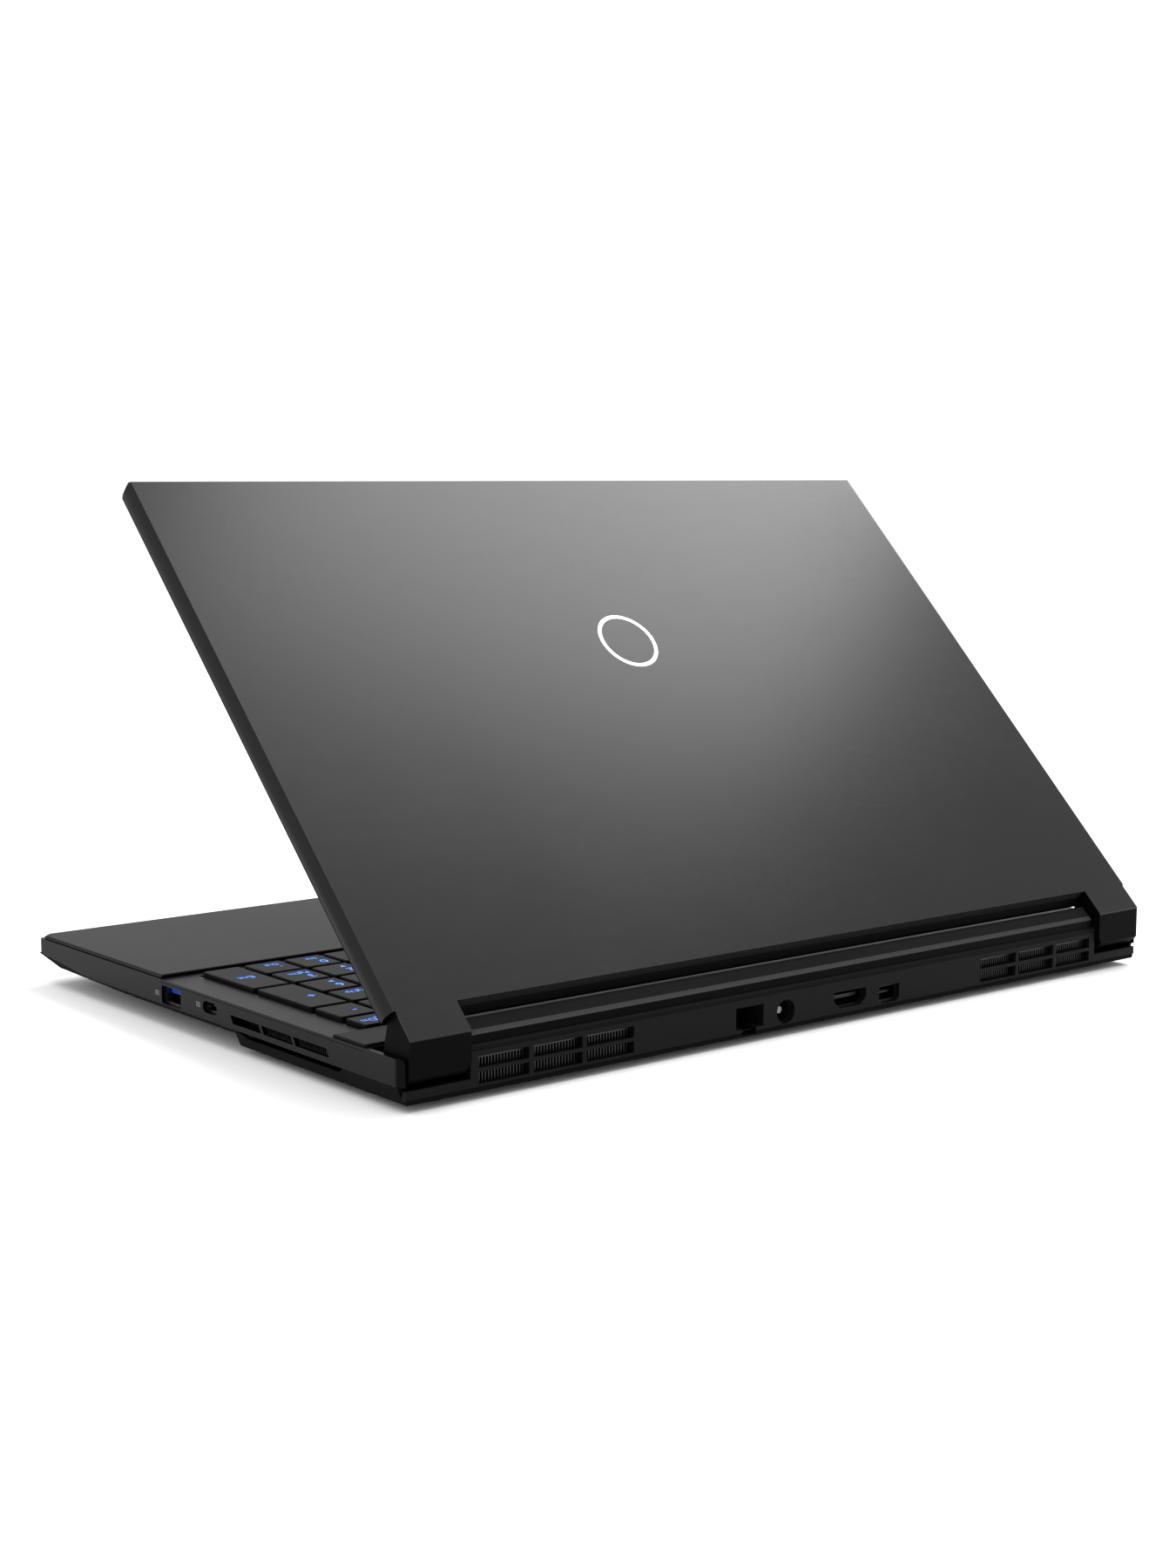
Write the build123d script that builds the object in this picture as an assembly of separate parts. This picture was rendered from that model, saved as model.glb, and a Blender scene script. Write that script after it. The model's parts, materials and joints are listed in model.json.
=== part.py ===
"""Laptop computer, 15.6 inch class, as an assembly of separate pieces.

Frame: millimetres, +X to the user's right, +Y to the back, +Z up. The origin is on the table under the
middle of the lower half. The lid is drawn shut and then turned about the hinge axis to its rest angle.
Most pieces that come in pairs are drawn on the right and mirrored.
"""

from build123d import *
import math
import os

os.makedirs("parts", exist_ok=True)

# ---- driving dimensions: shells of the lower half -----------------------------------------------
HALF_W = 180.0                    # half the width of the lower half and of the lid
FRONT, REAR = -124.0, 124.0
FLOOR_Z = 2.7                     # underside of the bottom cover, above the feet
WALL_Z = 8.4                      # lower edge of the side walls
NOSE_Z = 11.7                     # lower edge of the front wall
NOSE_Y, KNEE_Y = -84.0, -75.0     # where the sloping front ends, on the wall and on the underside
UNDER_FRONT, UNDER_REAR = 170.0, 177.7   # half widths of the flat underside
UNDER_STEP_Y = 24.0               # where the flat underside widens
DECK_Z = 17.5                     # keyboard deck
PALM_Z = 18.8                     # palm rest
PALM_REAR = -28.0
PLATE_FRONT, PLATE_Z = 84.6, 18.4 # rear deck cover
STRIP_Z = 18.2                    # strip above the rear panel
SEAM_Z = 16.1                     # top edge of the rear panel
LEDGE_Z = 7.3                     # floor of the two pockets that the lid's knuckles turn in
POCKET_IN, POCKET_OUT = 153.4, 178.3
POCKET_Y = 104.2
SKIN = 1.5                        # wall of the bottom cover and of the deck
WALL_T = 1.7                      # side wall
PANEL_T = 2.0                     # rear panel
SEAM = 0.1                        # gap between two shells that are screwed together
OVER = 1.0                        # how far a cutting shape runs past the face that it cuts
SCREWS = [(-150, -104), (60, -104), (150, -104), (-160, -34), (160, -34), (-60, 99.5), (0, 99.5),
          (60, 99.5), (-168, 97), (168, 97)]
FEET = [(-120, -60, -66, -58), (60, 120, -66, -58), (-130, 130, 106, 114)]
LAMPS_X, LAMP_Z, LAMP_R = (-150.0, -144.0, -138.0, -132.0), 14.8, 0.85

# ---- driving dimensions: hinge and lid ----------------------------------------------------------
HINGE_Y, HINGE_Z = 118.8, 17.0
OPEN_ANGLE = 45.35                # rest angle between the lid and the deck
PIN_R, BORE_R, PRESS_R = 2.0, 2.06, 2.02
BAR_HALF = 152.5                  # half the length of the hinge bar between the two knuckles
BAR_FRONT, BAR_REAR = 110.6, 122.9
BAR_CREST = (119.1, 25.9)
BARREL_R = 3.2
BRACKET_X = (122.0, 144.2)
LID_ARM_X = (159.0, 173.0)
LID_TOP, LID_T = 26.7, 7.1
LID_FRONT = -121.0
SLAB_REAR = 107.65                # rear edge of the lid between the knuckles
LIP_REAR = 109.8                  # rear edge of the bezel's lip, which closes the gap above the bar
LID_CHAMFER_X, LID_CHAMFER_Z = 1.6, 3.1
LID_SKIN = 1.2
BEZEL_T = 1.0
KNUCKLE_IN, KNUCKLE_OUT = 154.2, 177.6
KNUCKLE_R = 8.64
KNUCKLE_REAR = 125.7              # the knuckle's rear face stands upright here at the rest angle
SCREEN = (-172.1, 172.1, -108.8, 84.8)
EMBLEM_Y, EMBLEM_R, EMBLEM_RING = -34.5, 13.0, 1.6
CAMERA_IN = 6.2                   # camera behind the lid's front edge

# ---- driving dimensions: keyboard and touchpad --------------------------------------------------
KEY_LEFT, KEY_RIGHT, KEY_FRONT = -166.0, 165.6, -22.2
ROW_PITCH, KEY_GAP, FUNCTION_H = 18.6, 2.3, 12.2
PAD_PITCH = 17.0                  # number pad
KEY_TOP, KEY_BOTTOM = 19.0, 16.2
WELL = (-167.0, 166.6, -23.2, 83.4)
BACKPLATE_Z, SHEET_T = 13.5, 0.5
TOUCH_X, TOUCH_Y = (-94.0, 24.0), (-111.0, -37.0)
BUTTON_X, BUTTON_Y = (141.0, 157.0), (90.0, 95.0)

# ---- driving dimensions: cooling, boards and sockets --------------------------------------------
FAN_X, FAN_Y, FAN_R = 116.0, 66.0, 31.5
FAN_Z0, FAN_Z1 = 4.9, 13.2
ROTOR_R, HUB_R, BLADES = 27.5, 13.0, 37
FIN_PITCH, FIN_T = 1.25, 0.35
VENT_IN, VENT_OUT = 86.0, 150.2   # rear vents, along X
VENT_ROWS = ((5.2, 9.1), (10.4, 14.3))
SIDE_VENT = (21.2, 81.6)          # side vents, along Y
VENT_RIB = 1.8
BOARD_Z, BOARD_T = 7.0, 1.2
CHIP_X = (-34.0, 34.0)
CARD_Z = 9.0
SOCKET_Y = REAR - PANEL_T         # outer end of the rear sockets, against the panel
SOCKET_X = HALF_W - WALL_T - SEAM # outer end of the side sockets, against the wall
USB_Z = (8.9, 15.4)
USB_RIGHT_Y, USB_LEFT_Y = (-26.5, -12.9), (-56.9, -43.3)
SMALL_ROUND_Y, SMALL_ROUND_Z = (2.9, 12.1), (11.2, 15.0)
AUDIO_Y, AUDIO_Z, AUDIO_R = (-22.0, -8.0), 12.6, 1.8
LAN_X, LAN_Z = (26.8, 39.8), (5.6, 13.3)
POWER_X, POWER_Z = 16.0, 8.9

# ---- worked out from the above ------------------------------------------------------------------
LID_FACE = LID_TOP - LID_T        # the bezel's face
CASE_Z = DECK_Z - SKIN            # underside of the deck
UNIT = (KEY_RIGHT + KEY_GAP - 4 * PAD_PITCH - KEY_LEFT) / 15
BOARD_TOP = BOARD_Z + BOARD_T
CAMERA_Y = LID_FRONT + CAMERA_IN


# ---- small helpers ------------------------------------------------------------------------------
def block(x0, x1, y0, y1, z0, z1):
    """A box given by its limits."""
    return Pos((x0 + x1) / 2, (y0 + y1) / 2, (z0 + z1) / 2) * Box(x1 - x0, y1 - y0, z1 - z0)


def along_x(points, x0, x1):
    """A (y, z) outline swept from x0 to x1."""
    wire = Polyline(*[(x0, y, z) for y, z in points], close=True)
    return extrude(make_face(wire), amount=x1 - x0, dir=(1, 0, 0))


def along_y(points, y0, y1):
    """An (x, z) outline swept from y0 to y1."""
    wire = Polyline(*[(x, y0, z) for x, z in points], close=True)
    return extrude(make_face(wire), amount=y1 - y0, dir=(0, 1, 0))


def along_z(points, z0, z1):
    """An (x, y) outline swept from z0 to z1."""
    wire = Polyline(*[(x, y, z0) for x, y in points], close=True)
    return extrude(make_face(wire), amount=z1 - z0, dir=(0, 0, 1))


def rod_x(x0, x1, y, z, r):
    """A round bar along X."""
    return Pos((x0 + x1) / 2, y, z) * Rot(0, 90, 0) * Cylinder(r, x1 - x0)


def rod_y(x, y0, y1, z, r):
    """A round bar along Y."""
    return Pos(x, (y0 + y1) / 2, z) * Rot(90, 0, 0) * Cylinder(r, y1 - y0)


def rod_z(x, y, z0, z1, r):
    """An upright round bar."""
    return Pos(x, y, (z0 + z1) / 2) * Cylinder(r, z1 - z0)


def twin(shape):
    """The shape's mirror image across the middle of the machine."""
    return mirror(shape, about=Plane.YZ)


def both(shape):
    """The shape and its mirror image."""
    return shape + twin(shape)


def opened(shape):
    """Turns a piece of the shut lid to the rest angle."""
    return Pos(0, HINGE_Y, HINGE_Z) * Rot(-OPEN_ANGLE, 0, 0) * Pos(0, -HINGE_Y, -HINGE_Z) * shape


def shut_point(y, z):
    """The place that a point of the opened lid has when the lid is shut."""
    a = math.radians(OPEN_ANGLE)
    dy, dz = y - HINGE_Y, z - HINGE_Z
    return (HINGE_Y + dy * math.cos(a) - dz * math.sin(a), HINGE_Z + dy * math.sin(a) + dz * math.cos(a))


def slot_plate(x0, x1, y0, y1, z0, z1, r):
    """A plate with round upright corners."""
    plate = block(x0, x1, y0, y1, z0, z1)
    return fillet(plate.edges().filter_by(Axis.Z), r)


def round_along_x(shape, r):
    """Rounds every edge that runs along X."""
    return fillet(shape.edges().filter_by(Axis.X), r)


def sink(outline, y0, y1):
    """An (x, z) outline cut from y0 past the panel's outer face at y1."""
    return along_y(outline, y0, y1 + OVER)


def save(name, shape):
    """Writes one node."""
    export_step(shape, f"parts/{name}.step")


# ---- lower half: shells -------------------------------------------------------------------------
def tub(inset, top_extra=0.0):
    """The bottom cover's outer form, or its hollow when inset is its wall."""
    half, z0, rear = HALF_W - inset, FLOOR_Z + inset, REAR - 0.2 - inset
    rise = inset * 1.1            # a sloping wall measured upright
    nose = NOSE_Z - SEAM + rise
    rim = [(FRONT + inset, NOSE_Z + top_extra), (NOSE_Y, WALL_Z + top_extra), (rear, WALL_Z + top_extra),
           (rear, z0), (KNEE_Y, z0), (FRONT + inset, nose)]
    body = along_x(rim, -half, half)
    far = half + 9
    front_side = [(half, WALL_Z + rise), (UNDER_FRONT - inset, z0), (far, z0), (far, WALL_Z + rise)]
    rear_side = [(half, WALL_Z), (UNDER_REAR - inset, z0), (far, z0), (far, WALL_Z)]
    slope = [(FRONT - OVER, z0 - 3), (FRONT - OVER, nose), (FRONT + inset, nose), (KNEE_Y, z0), (KNEE_Y, z0 - 3)]
    body -= both(along_y(front_side, FRONT - OVER, UNDER_STEP_Y))
    body -= both(along_y(rear_side, UNDER_STEP_Y, REAR + OVER))
    return body - along_x(slope, -far, far)


def underside(y):
    """Height of the bottom cover's outer face."""
    if y > KNEE_Y:
        return FLOOR_Z
    return NOSE_Z - (NOSE_Z - FLOOR_Z) * (y - FRONT) / (KNEE_Y - FRONT)


def fan_grille(x):
    """Long rounded slots under one fan, inside a circle."""
    pitch, half_slot, reach = 7.2, 1.4, 26.0
    slots = []
    for i in range(-3, 4):
        half = math.sqrt(reach ** 2 - (i * pitch) ** 2)
        middle = x + i * pitch
        slots.append(slot_plate(middle - half_slot, middle + half_slot, FAN_Y - half, FAN_Y + half, 0, 6, 1.3))
    return Compound(children=slots)


def bottom_cover():
    shell = tub(0) - tub(SKIN, top_extra=3.0)
    rear_inner = SOCKET_Y - 0.2
    rear_gap = block(-HALF_W - 9, HALF_W + 9, rear_inner, REAR + OVER, FLOOR_Z + SKIN, DECK_Z)
    platform = block(POCKET_IN - 1.4, POCKET_OUT - 0.4, POCKET_Y - 1.4, rear_inner, FLOOR_Z + 0.4, LEDGE_Z - SEAM)
    shell = shell - rear_gap + (both(platform) & tub(0, top_extra=3.0))
    for x, y in SCREWS:
        z = underside(y)
        shell -= rod_z(x, y, 0, z + 5, 1.6) + rod_z(x, y, z - 4, z + 0.7, 2.9)
    shell -= fan_grille(FAN_X) + fan_grille(-FAN_X)
    top, bottom = WALL_Z + SEAM, 6.5
    y0, y1 = SIDE_VENT
    low_vent = [(y0 + 4, top), (y0 + 10.4, bottom), (y1 + 6, bottom), (y1 + 10, top)]
    shell -= both(along_x(low_vent, HALF_W - 4, HALF_W + OVER))
    for x0, x1, y0, y1 in FEET:
        shell -= block(x0 - SEAM, x1 + SEAM, y0 - SEAM, y1 + SEAM, 0, FLOOR_Z + 0.5)
    latch = block(LAN_X[0] + 3.4, LAN_X[1] - 3.0, REAR - 3, REAR + OVER, FLOOR_Z + 0.6, FLOOR_Z + SKIN + 0.8)
    return shell - latch


def rubber_feet():
    feet = []
    for x0, x1, y0, y1 in FEET:
        foot = slot_plate(x0, x1, y0, y1, 0, FLOOR_Z + 0.5, 3.9)
        feet.append(chamfer(foot.faces().sort_by(Axis.Z)[0].edges(), 0.5))
    return Compound(children=feet)


def bottom_screws():
    screws = []
    for x, y in SCREWS:
        z = underside(y)
        head = rod_z(x, y, z - 0.7, z + 0.6, 2.5)
        shank = rod_z(x, y, z + 0.6, CASE_Z - SKIN, 1.15)
        cross = block(x - 1.3, x + 1.3, y - 0.3, y + 0.3, z - OVER, z)
        cross += block(x - 0.3, x + 0.3, y - 1.3, y + 1.3, z - OVER, z)
        screws.append(head + shank - cross)
    return Compound(children=screws)


def side_wall():
    """Right-hand wall: a rounded top at the rear and a seam line under the deck."""
    low = WALL_Z + SEAM
    outline = [(FRONT, NOSE_Z + SEAM), (FRONT, DECK_Z), (REAR, DECK_Z), (REAR, low), (NOSE_Y, low)]
    wall = along_x(outline, HALF_W - WALL_T, HALF_W)
    top_rear = max(wall.edges().filter_by(Axis.X), key=lambda edge: edge.center().Y + edge.center().Z)
    wall = fillet(top_rear, 1.8)
    return wall - block(HALF_W - 0.3, HALF_W + OVER, PALM_REAR, POCKET_Y, DECK_Z - 1.15, DECK_Z - 0.85)


def top_case():
    deck = block(-HALF_W + WALL_T, HALF_W - WALL_T, FRONT, POCKET_Y, CASE_Z, DECK_Z)
    bay_rear = REAR - 2.4
    bay = block(-POCKET_IN, POCKET_IN, POCKET_Y, bay_rear, CASE_Z, DECK_Z)
    nose = block(-HALF_W, HALF_W, FRONT, FRONT + 1.8, NOSE_Z + SEAM, DECK_Z)
    strip = block(-POCKET_IN, POCKET_IN, bay_rear, REAR, SEAM_Z + SEAM, STRIP_Z)
    strip = chamfer(strip.edges().filter_by(Axis.X).sort_by(Axis.Z)[-2:].sort_by(Axis.Y)[-1], 0.8)
    inner, low, front = POCKET_IN - 1.2, LEDGE_Z + SEAM, POCKET_Y - 1.4
    pocket = block(inner, HALF_W - WALL_T + 0.05, front, POCKET_Y, low, DECK_Z)
    pocket += block(inner, POCKET_IN, front, bay_rear, low, DECK_Z)
    case = deck + bay + both(side_wall()) + nose + strip + both(pocket)
    clear = BARREL_R - 0.6
    case -= both(block(BRACKET_X[0] - 2, inner, 106.0, bay_rear, 13, DECK_Z + OVER))
    case -= both(block(inner, POCKET_IN + OVER, HINGE_Y - clear, HINGE_Y + clear, HINGE_Z - clear, DECK_Z + OVER))
    case -= block(*WELL, 10, 20)
    case -= block(TOUCH_X[0] - 0.5, TOUCH_X[1] + 0.5, TOUCH_Y[0] - 0.5, TOUCH_Y[1] + 0.5, 10, 20)
    far = HALF_W + OVER
    rear_corner = [(far, REAR - 2.2), (far, REAR + OVER), (HALF_W - 1.5, REAR + OVER), (HALF_W - 1.5, REAR),
                   (HALF_W, REAR - 2.2)]
    front_corner = [(far, FRONT - OVER), (far, FRONT + 1.5), (HALF_W, FRONT + 1.5), (HALF_W - 1.5, FRONT),
                    (HALF_W - 1.5, FRONT - OVER)]
    case -= both(along_z(rear_corner, 0, 20) + along_z(front_corner, 0, 20))
    case -= rod_z(sum(BUTTON_X) / 2, sum(BUTTON_Y) / 2, 10, 20, 1.9)
    for x, y in SCREWS:
        case += rod_z(x, y, 11.8, CASE_Z, 2.6)
        case -= rod_z(x, y, 10, CASE_Z - 0.8, 1.2)
    for x in LAMPS_X:
        case -= rod_y(x, FRONT - OVER, FRONT + 3, LAMP_Z, LAMP_R + 0.05)
    return case - side_openings()


def side_openings():
    """Socket openings and vents cut through the two side walls."""
    x0, x1 = HALF_W - 3, HALF_W + OVER
    z0, z1 = USB_Z[0] - SEAM, USB_Z[1] + SEAM
    cuts = round_along_x(block(x0, x1, USB_RIGHT_Y[0] - SEAM, USB_RIGHT_Y[1] + SEAM, z0, z1), 0.9)
    cuts += round_along_x(block(-x1, -x0, USB_LEFT_Y[0] - SEAM, USB_LEFT_Y[1] + SEAM, z0, z1), 0.9)
    z0, z1 = SMALL_ROUND_Z[0] - 0.2, SMALL_ROUND_Z[1] + 0.2
    cuts += round_along_x(block(x0, x1, SMALL_ROUND_Y[0] - 0.2, SMALL_ROUND_Y[1] + 0.2, z0, z1), 1.95)
    for y in AUDIO_Y:
        cuts += rod_x(-x1, -x0, y, AUDIO_Z, 3.4)
    third, lean = (SIDE_VENT[1] - SIDE_VENT[0]) / 3, 1.7
    low, high = 10.4, 13.3
    for i in range(3):
        y0 = SIDE_VENT[0] + i * third
        y1 = y0 + third - (1.5 if i < 2 else 0.0)
        cuts += both(along_x([(y0, high), (y1, high), (y1 + lean, low), (y0 + lean, low)], x0, x1))
    return cuts


def palmrest_plate():
    x, y0, cut = HALF_W - 0.7, FRONT + 0.6, 3.0
    outline = [(-x + cut, y0), (x - cut, y0), (x, y0 + cut), (x, PALM_REAR), (-x, PALM_REAR), (-x, y0 + cut)]
    plate = along_z(outline, DECK_Z, PALM_Z)
    plate = chamfer(plate.faces().sort_by(Axis.Z)[-1].edges(), 0.45)
    return plate - slot_plate(TOUCH_X[0] - 0.4, TOUCH_X[1] + 0.4, TOUCH_Y[0] - 0.4, TOUCH_Y[1] + 0.4, 15, 20, 3.0)


def status_lights():
    """Light rods through the front wall."""
    return Compound(children=[rod_y(x, FRONT + 0.1, FRONT + 3.4, LAMP_Z, LAMP_R) for x in LAMPS_X])


def rear_deck_cover():
    """Plate behind the keyboard, with the hollow bar that hides the hinge barrels."""
    x = HALF_W - 0.7
    plate = block(-x, x, PLATE_FRONT, POCKET_Y - 1.2, DECK_Z, PLATE_Z)
    plate = chamfer(plate.faces().sort_by(Axis.Z)[-1].edges(), 0.4)
    tongue = block(-POCKET_IN, POCKET_IN, POCKET_Y - 3, BAR_FRONT + 1.0, DECK_Z, PLATE_Z)
    low, heel = STRIP_Z + SEAM, REAR - 2.6
    bar = along_x([(BAR_FRONT, DECK_Z), (BAR_FRONT, 20.0), (112.4, 23.2), (114.6, 24.8), BAR_CREST, (121.6, 22.4),
                   (BAR_REAR, 21.1), (BAR_REAR, low), (heel, low), (heel, DECK_Z)], -BAR_HALF, BAR_HALF)
    bar = bar - bar_end_cuts()
    hollow = along_x([(BAR_FRONT + 1.2, 15.0), (BAR_FRONT + 1.2, 19.6), (113.4, 22.5), (115.1, 23.6), (118.4, 24.5),
                      (BAR_REAR - 1.0, 20.2), (BAR_REAR - 1.0, 15.0)], -BAR_HALF + 1.6, BAR_HALF - 1.6)
    clear = BARREL_R - 0.6
    end0, end1 = BAR_HALF - 3, BAR_HALF + OVER
    pin_hole = rod_x(end0, end1, HINGE_Y, HINGE_Z, clear)
    pin_slot = block(end0, end1, HINGE_Y - clear, HINGE_Y + clear, 15.0, HINGE_Z)
    button_hole = slot_plate(*BUTTON_X, *BUTTON_Y, 15, 20, 2.4)
    return plate + tongue + bar - hollow - both(pin_hole + pin_slot) - button_hole


def bar_end_cuts():
    """Slopes on the upper corners of the bar's two ends."""
    x, top, run, drop = BAR_HALF, BAR_CREST[1], 1.2, 3.0
    return both(along_y([(x - run, top + OVER), (x - run, top), (x, top - drop), (x + OVER, top - drop),
                         (x + OVER, top + OVER)], BAR_FRONT - OVER, BAR_REAR + OVER))


def power_button():
    """Cap with a stem through the deck."""
    (x0, x1), (y0, y1) = BUTTON_X, BUTTON_Y
    cap = slot_plate(x0 + 0.3, x1 - 0.3, y0 + 0.3, y1 - 0.3, DECK_Z + 0.5, DECK_Z + 1.1, 2.1)
    return cap + rod_z((x0 + x1) / 2, (y0 + y1) / 2, 14.6, DECK_Z + 0.6, 1.4)


def rear_panel():
    low = FLOOR_Z + SKIN + SEAM
    panel = block(-POCKET_IN, POCKET_IN, REAR - PANEL_T, REAR, low, SEAM_Z)
    panel += block(-UNDER_REAR - 0.8, UNDER_REAR + 0.8, REAR - PANEL_T, REAR, low, LEDGE_Z)
    third = (VENT_OUT - VENT_IN + VENT_RIB) / 3
    for z0, z1 in VENT_ROWS:
        for i in range(3):
            x0 = VENT_IN + i * third
            panel -= both(block(x0, x0 + third - VENT_RIB, REAR - 3, REAR + OVER, z0, z1))
    return panel - rear_openings()


def wide_video_outline(grow):
    """(x, z) outline of the wide video socket, with its two lower corners cut."""
    return [(-8.0 + grow, 12.1 + grow), (-24.2 - grow, 12.1 + grow), (-24.2 - grow, 8.6 - grow * 0.4),
            (-21.2 - grow * 0.4, 6.1 - grow), (-11.0 + grow * 0.4, 6.1 - grow), (-8.0 + grow, 8.6 - grow * 0.4)]


def small_video_outline(grow):
    """(x, z) outline of the small video socket, with its two lower corners cut."""
    return [(-31.0 + grow, 11.3 + grow), (-41.6 - grow, 11.3 + grow), (-41.6 - grow, 6.2 - grow * 0.4),
            (-40.0 - grow * 0.4, 4.8 - grow), (-32.6 + grow * 0.4, 4.8 - grow), (-31.0 + grow, 6.2 - grow * 0.4)]


def rear_openings():
    """The four socket openings in the rear panel."""
    y0, y1 = REAR - 3, REAR + OVER
    lan = block(*LAN_X, y0, y1, *LAN_Z)
    latch = block(LAN_X[0] + 3.4, LAN_X[1] - 3.0, y0, y1, LAN_Z[0] - 1.6, LAN_Z[0])
    power = rod_y(POWER_X, y0, y1, POWER_Z, 4.3)
    return lan + latch + power + sink(wide_video_outline(0), y0, REAR) + sink(small_video_outline(0), y0, REAR)


# ---- sockets ------------------------------------------------------------------------------------
def large_flat_socket(x0, x1, y0, y1):
    """Sheet shell of a large flat socket that opens towards x1, with its tongue."""
    sheet, way = 0.6, math.copysign(1.0, x1 - x0)
    z0, z1 = USB_Z
    shell = block(min(x0, x1), max(x0, x1), y0, y1, z0, z1)
    ends = sorted((x0 + 1.2 * way, x1 + OVER * way))
    shell -= block(*ends, y0 + 0.5, y1 - 0.5, z0 + sheet, z1 - 0.5)
    ends = sorted((x0 + 0.9 * way, x1 - 1.6 * way))
    return shell + block(*ends, y0 + 1.4, y1 - 1.4, z1 - 2.8, z1 - 0.9)


def small_round_port():
    """Small reversible socket: a rounded shell with a thin tongue."""
    (y0, y1), (z0, z1), wall = SMALL_ROUND_Y, SMALL_ROUND_Z, 0.5
    inner = SOCKET_X - 10.2
    shell = round_along_x(block(inner, SOCKET_X, y0, y1, z0, z1), 1.8)
    mouth = block(inner + 1.4, SOCKET_X + OVER, y0 + wall, y1 - wall, z0 + wall, z1 - wall)
    tongue = block(inner + 1.0, SOCKET_X - 1.7, y0 + 1.5, y1 - 1.5, z0 + 1.6, z0 + 2.2)
    return shell - round_along_x(mouth, 1.3) + tongue


def lan_port():
    """Network socket: a square mouth, a latch slot below it and a row of spring contacts."""
    inner = SOCKET_Y - 17.8
    (x0, x1), (z0, z1) = LAN_X, LAN_Z
    body = block(x0 - 0.9, x1 + 0.9, inner, SOCKET_Y, z0 - 1.2, z1 + 0.9)
    body -= block(x0 + 0.2, x1 - 0.2, inner + 3, SOCKET_Y + OVER, z0 + 0.2, z1 - 0.2)
    body -= block(x0 + 3.6, x1 - 3.2, inner + 6, SOCKET_Y + OVER, z0 - 1.0, z0 + 0.3)
    pitch, half = 1.02, 0.2
    for i in range(9):
        x = x0 + 2.5 + pitch * i
        body += block(x - half, x + half, inner + 2.5, inner + 9, z1 - 1.1, z1 - 0.7)
    return body


def dc_jack():
    """Power inlet: a round well with a centre pin."""
    inner = SOCKET_Y - 14.0
    body = block(POWER_X - 5.1, POWER_X + 5.1, inner, SOCKET_Y, FLOOR_Z + SKIN + 0.2, POWER_Z + 5)
    body -= rod_y(POWER_X, inner + 2, SOCKET_Y + OVER, POWER_Z, 3.7)
    return body + rod_y(POWER_X, inner + 1, SOCKET_Y - 1.5, POWER_Z, 1.25)


def wide_video_port():
    inner = SOCKET_Y - 12.0
    shell = along_y(wide_video_outline(0.4), inner, SOCKET_Y) - sink(wide_video_outline(-0.5), inner + 1.5, SOCKET_Y)
    return shell + block(-22.4, -9.8, inner + 1, SOCKET_Y - 1.6, 8.9, 10.1)


def small_video_port():
    inner = SOCKET_Y - 10.0
    shell = along_y(small_video_outline(0.4), inner, SOCKET_Y) - sink(small_video_outline(-0.8), inner + 1.5, SOCKET_Y)
    return shell + block(-39.4, -33.2, inner + 1, SOCKET_Y - 1.6, 7.7, 8.5)


def audio_jacks():
    """Two round sockets, each with a collar in the wall."""
    jacks = []
    for y in AUDIO_Y:
        shell = block(-SOCKET_X, -167.2, y - 3.6, y + 3.6, 9.2, 13.2)
        shell += rod_x(-HALF_W + 0.4, -167.2, y, AUDIO_Z, 3.2)
        jacks.append(shell - rod_x(-HALF_W - OVER, -168.5, y, AUDIO_Z, AUDIO_R))
    return Compound(children=jacks)


# ---- keyboard and touchpad ----------------------------------------------------------------------
# Widths of the main block's keys in units, from the space bar's row to the function row.
ROWS = [[1.25, 1, 1, 1.25, 5.5, 1, 1, 1, 1, 1],
        [2.25] + [1] * 10 + [1.75, 1],
        [1.75] + [1] * 11 + [2.25],
        [1.5] + [1] * 12 + [1.5],
        [1] * 13 + [2],
        [15 / 16] * 16]


def keycap(x0, x1, y0, y1):
    """One key: a straight skirt, sloped shoulders and a flat top."""
    cap = slot_plate(x0, x1, y0, y1, KEY_BOTTOM, KEY_TOP, 0.9)
    return chamfer(cap.faces().sort_by(Axis.Z)[-1].edges(), 0.35)


def row_span(row, rows=1):
    """Front and back of a key that starts in a row; the space bar's row is 0."""
    y0 = KEY_FRONT + row * ROW_PITCH
    if row == len(ROWS) - 1:
        return y0, y0 + FUNCTION_H
    return y0, y0 + rows * ROW_PITCH - KEY_GAP


def main_keys(row):
    """The keys of one row of the main block, from left to right."""
    y0, y1 = row_span(row)
    keys, x = [], KEY_LEFT
    for width in ROWS[row]:
        keys.append(keycap(x, x + width * UNIT - KEY_GAP, y0, y1))
        x += width * UNIT
    return keys


def pad_key(row, column, rows=1):
    """One key of the number pad; column 0 is beside the main block."""
    y0, y1 = row_span(row, rows)
    x0 = KEY_RIGHT + KEY_GAP - (4 - column) * PAD_PITCH
    return keycap(x0, x0 + PAD_PITCH - KEY_GAP, y0, y1)


def key_groups():
    """Every key, grouped into the nodes that move together."""
    rows = [main_keys(r) for r in range(6)]
    pad = [[pad_key(r, c) for c in range(4)] for r in range(6)]
    return {
        "keys_bottom_row": rows[0][:4] + rows[0][5:8] + pad[0][1:3],
        "space_bar": [rows[0][4]],
        "arrow_keys": [rows[0][8], rows[0][9], rows[1][12], pad[0][0]],
        "left_shift_key": [rows[1][0]],
        "keys_lower_row": rows[1][1:12] + pad[1][:3],
        "keys_home_row": rows[2][:12] + pad[2][:3],
        "enter_key": [rows[2][12]],
        "keys_upper_row": rows[3] + pad[3][:3],
        "keys_number_row": rows[4][:13] + pad[4],
        "backspace_key": [rows[4][13]],
        "keys_function_row": rows[5] + pad[5],
        "numpad_enter_key": [pad_key(0, 3, rows=2)],
        "numpad_plus_key": [pad_key(2, 3, rows=2)],
    }


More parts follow.
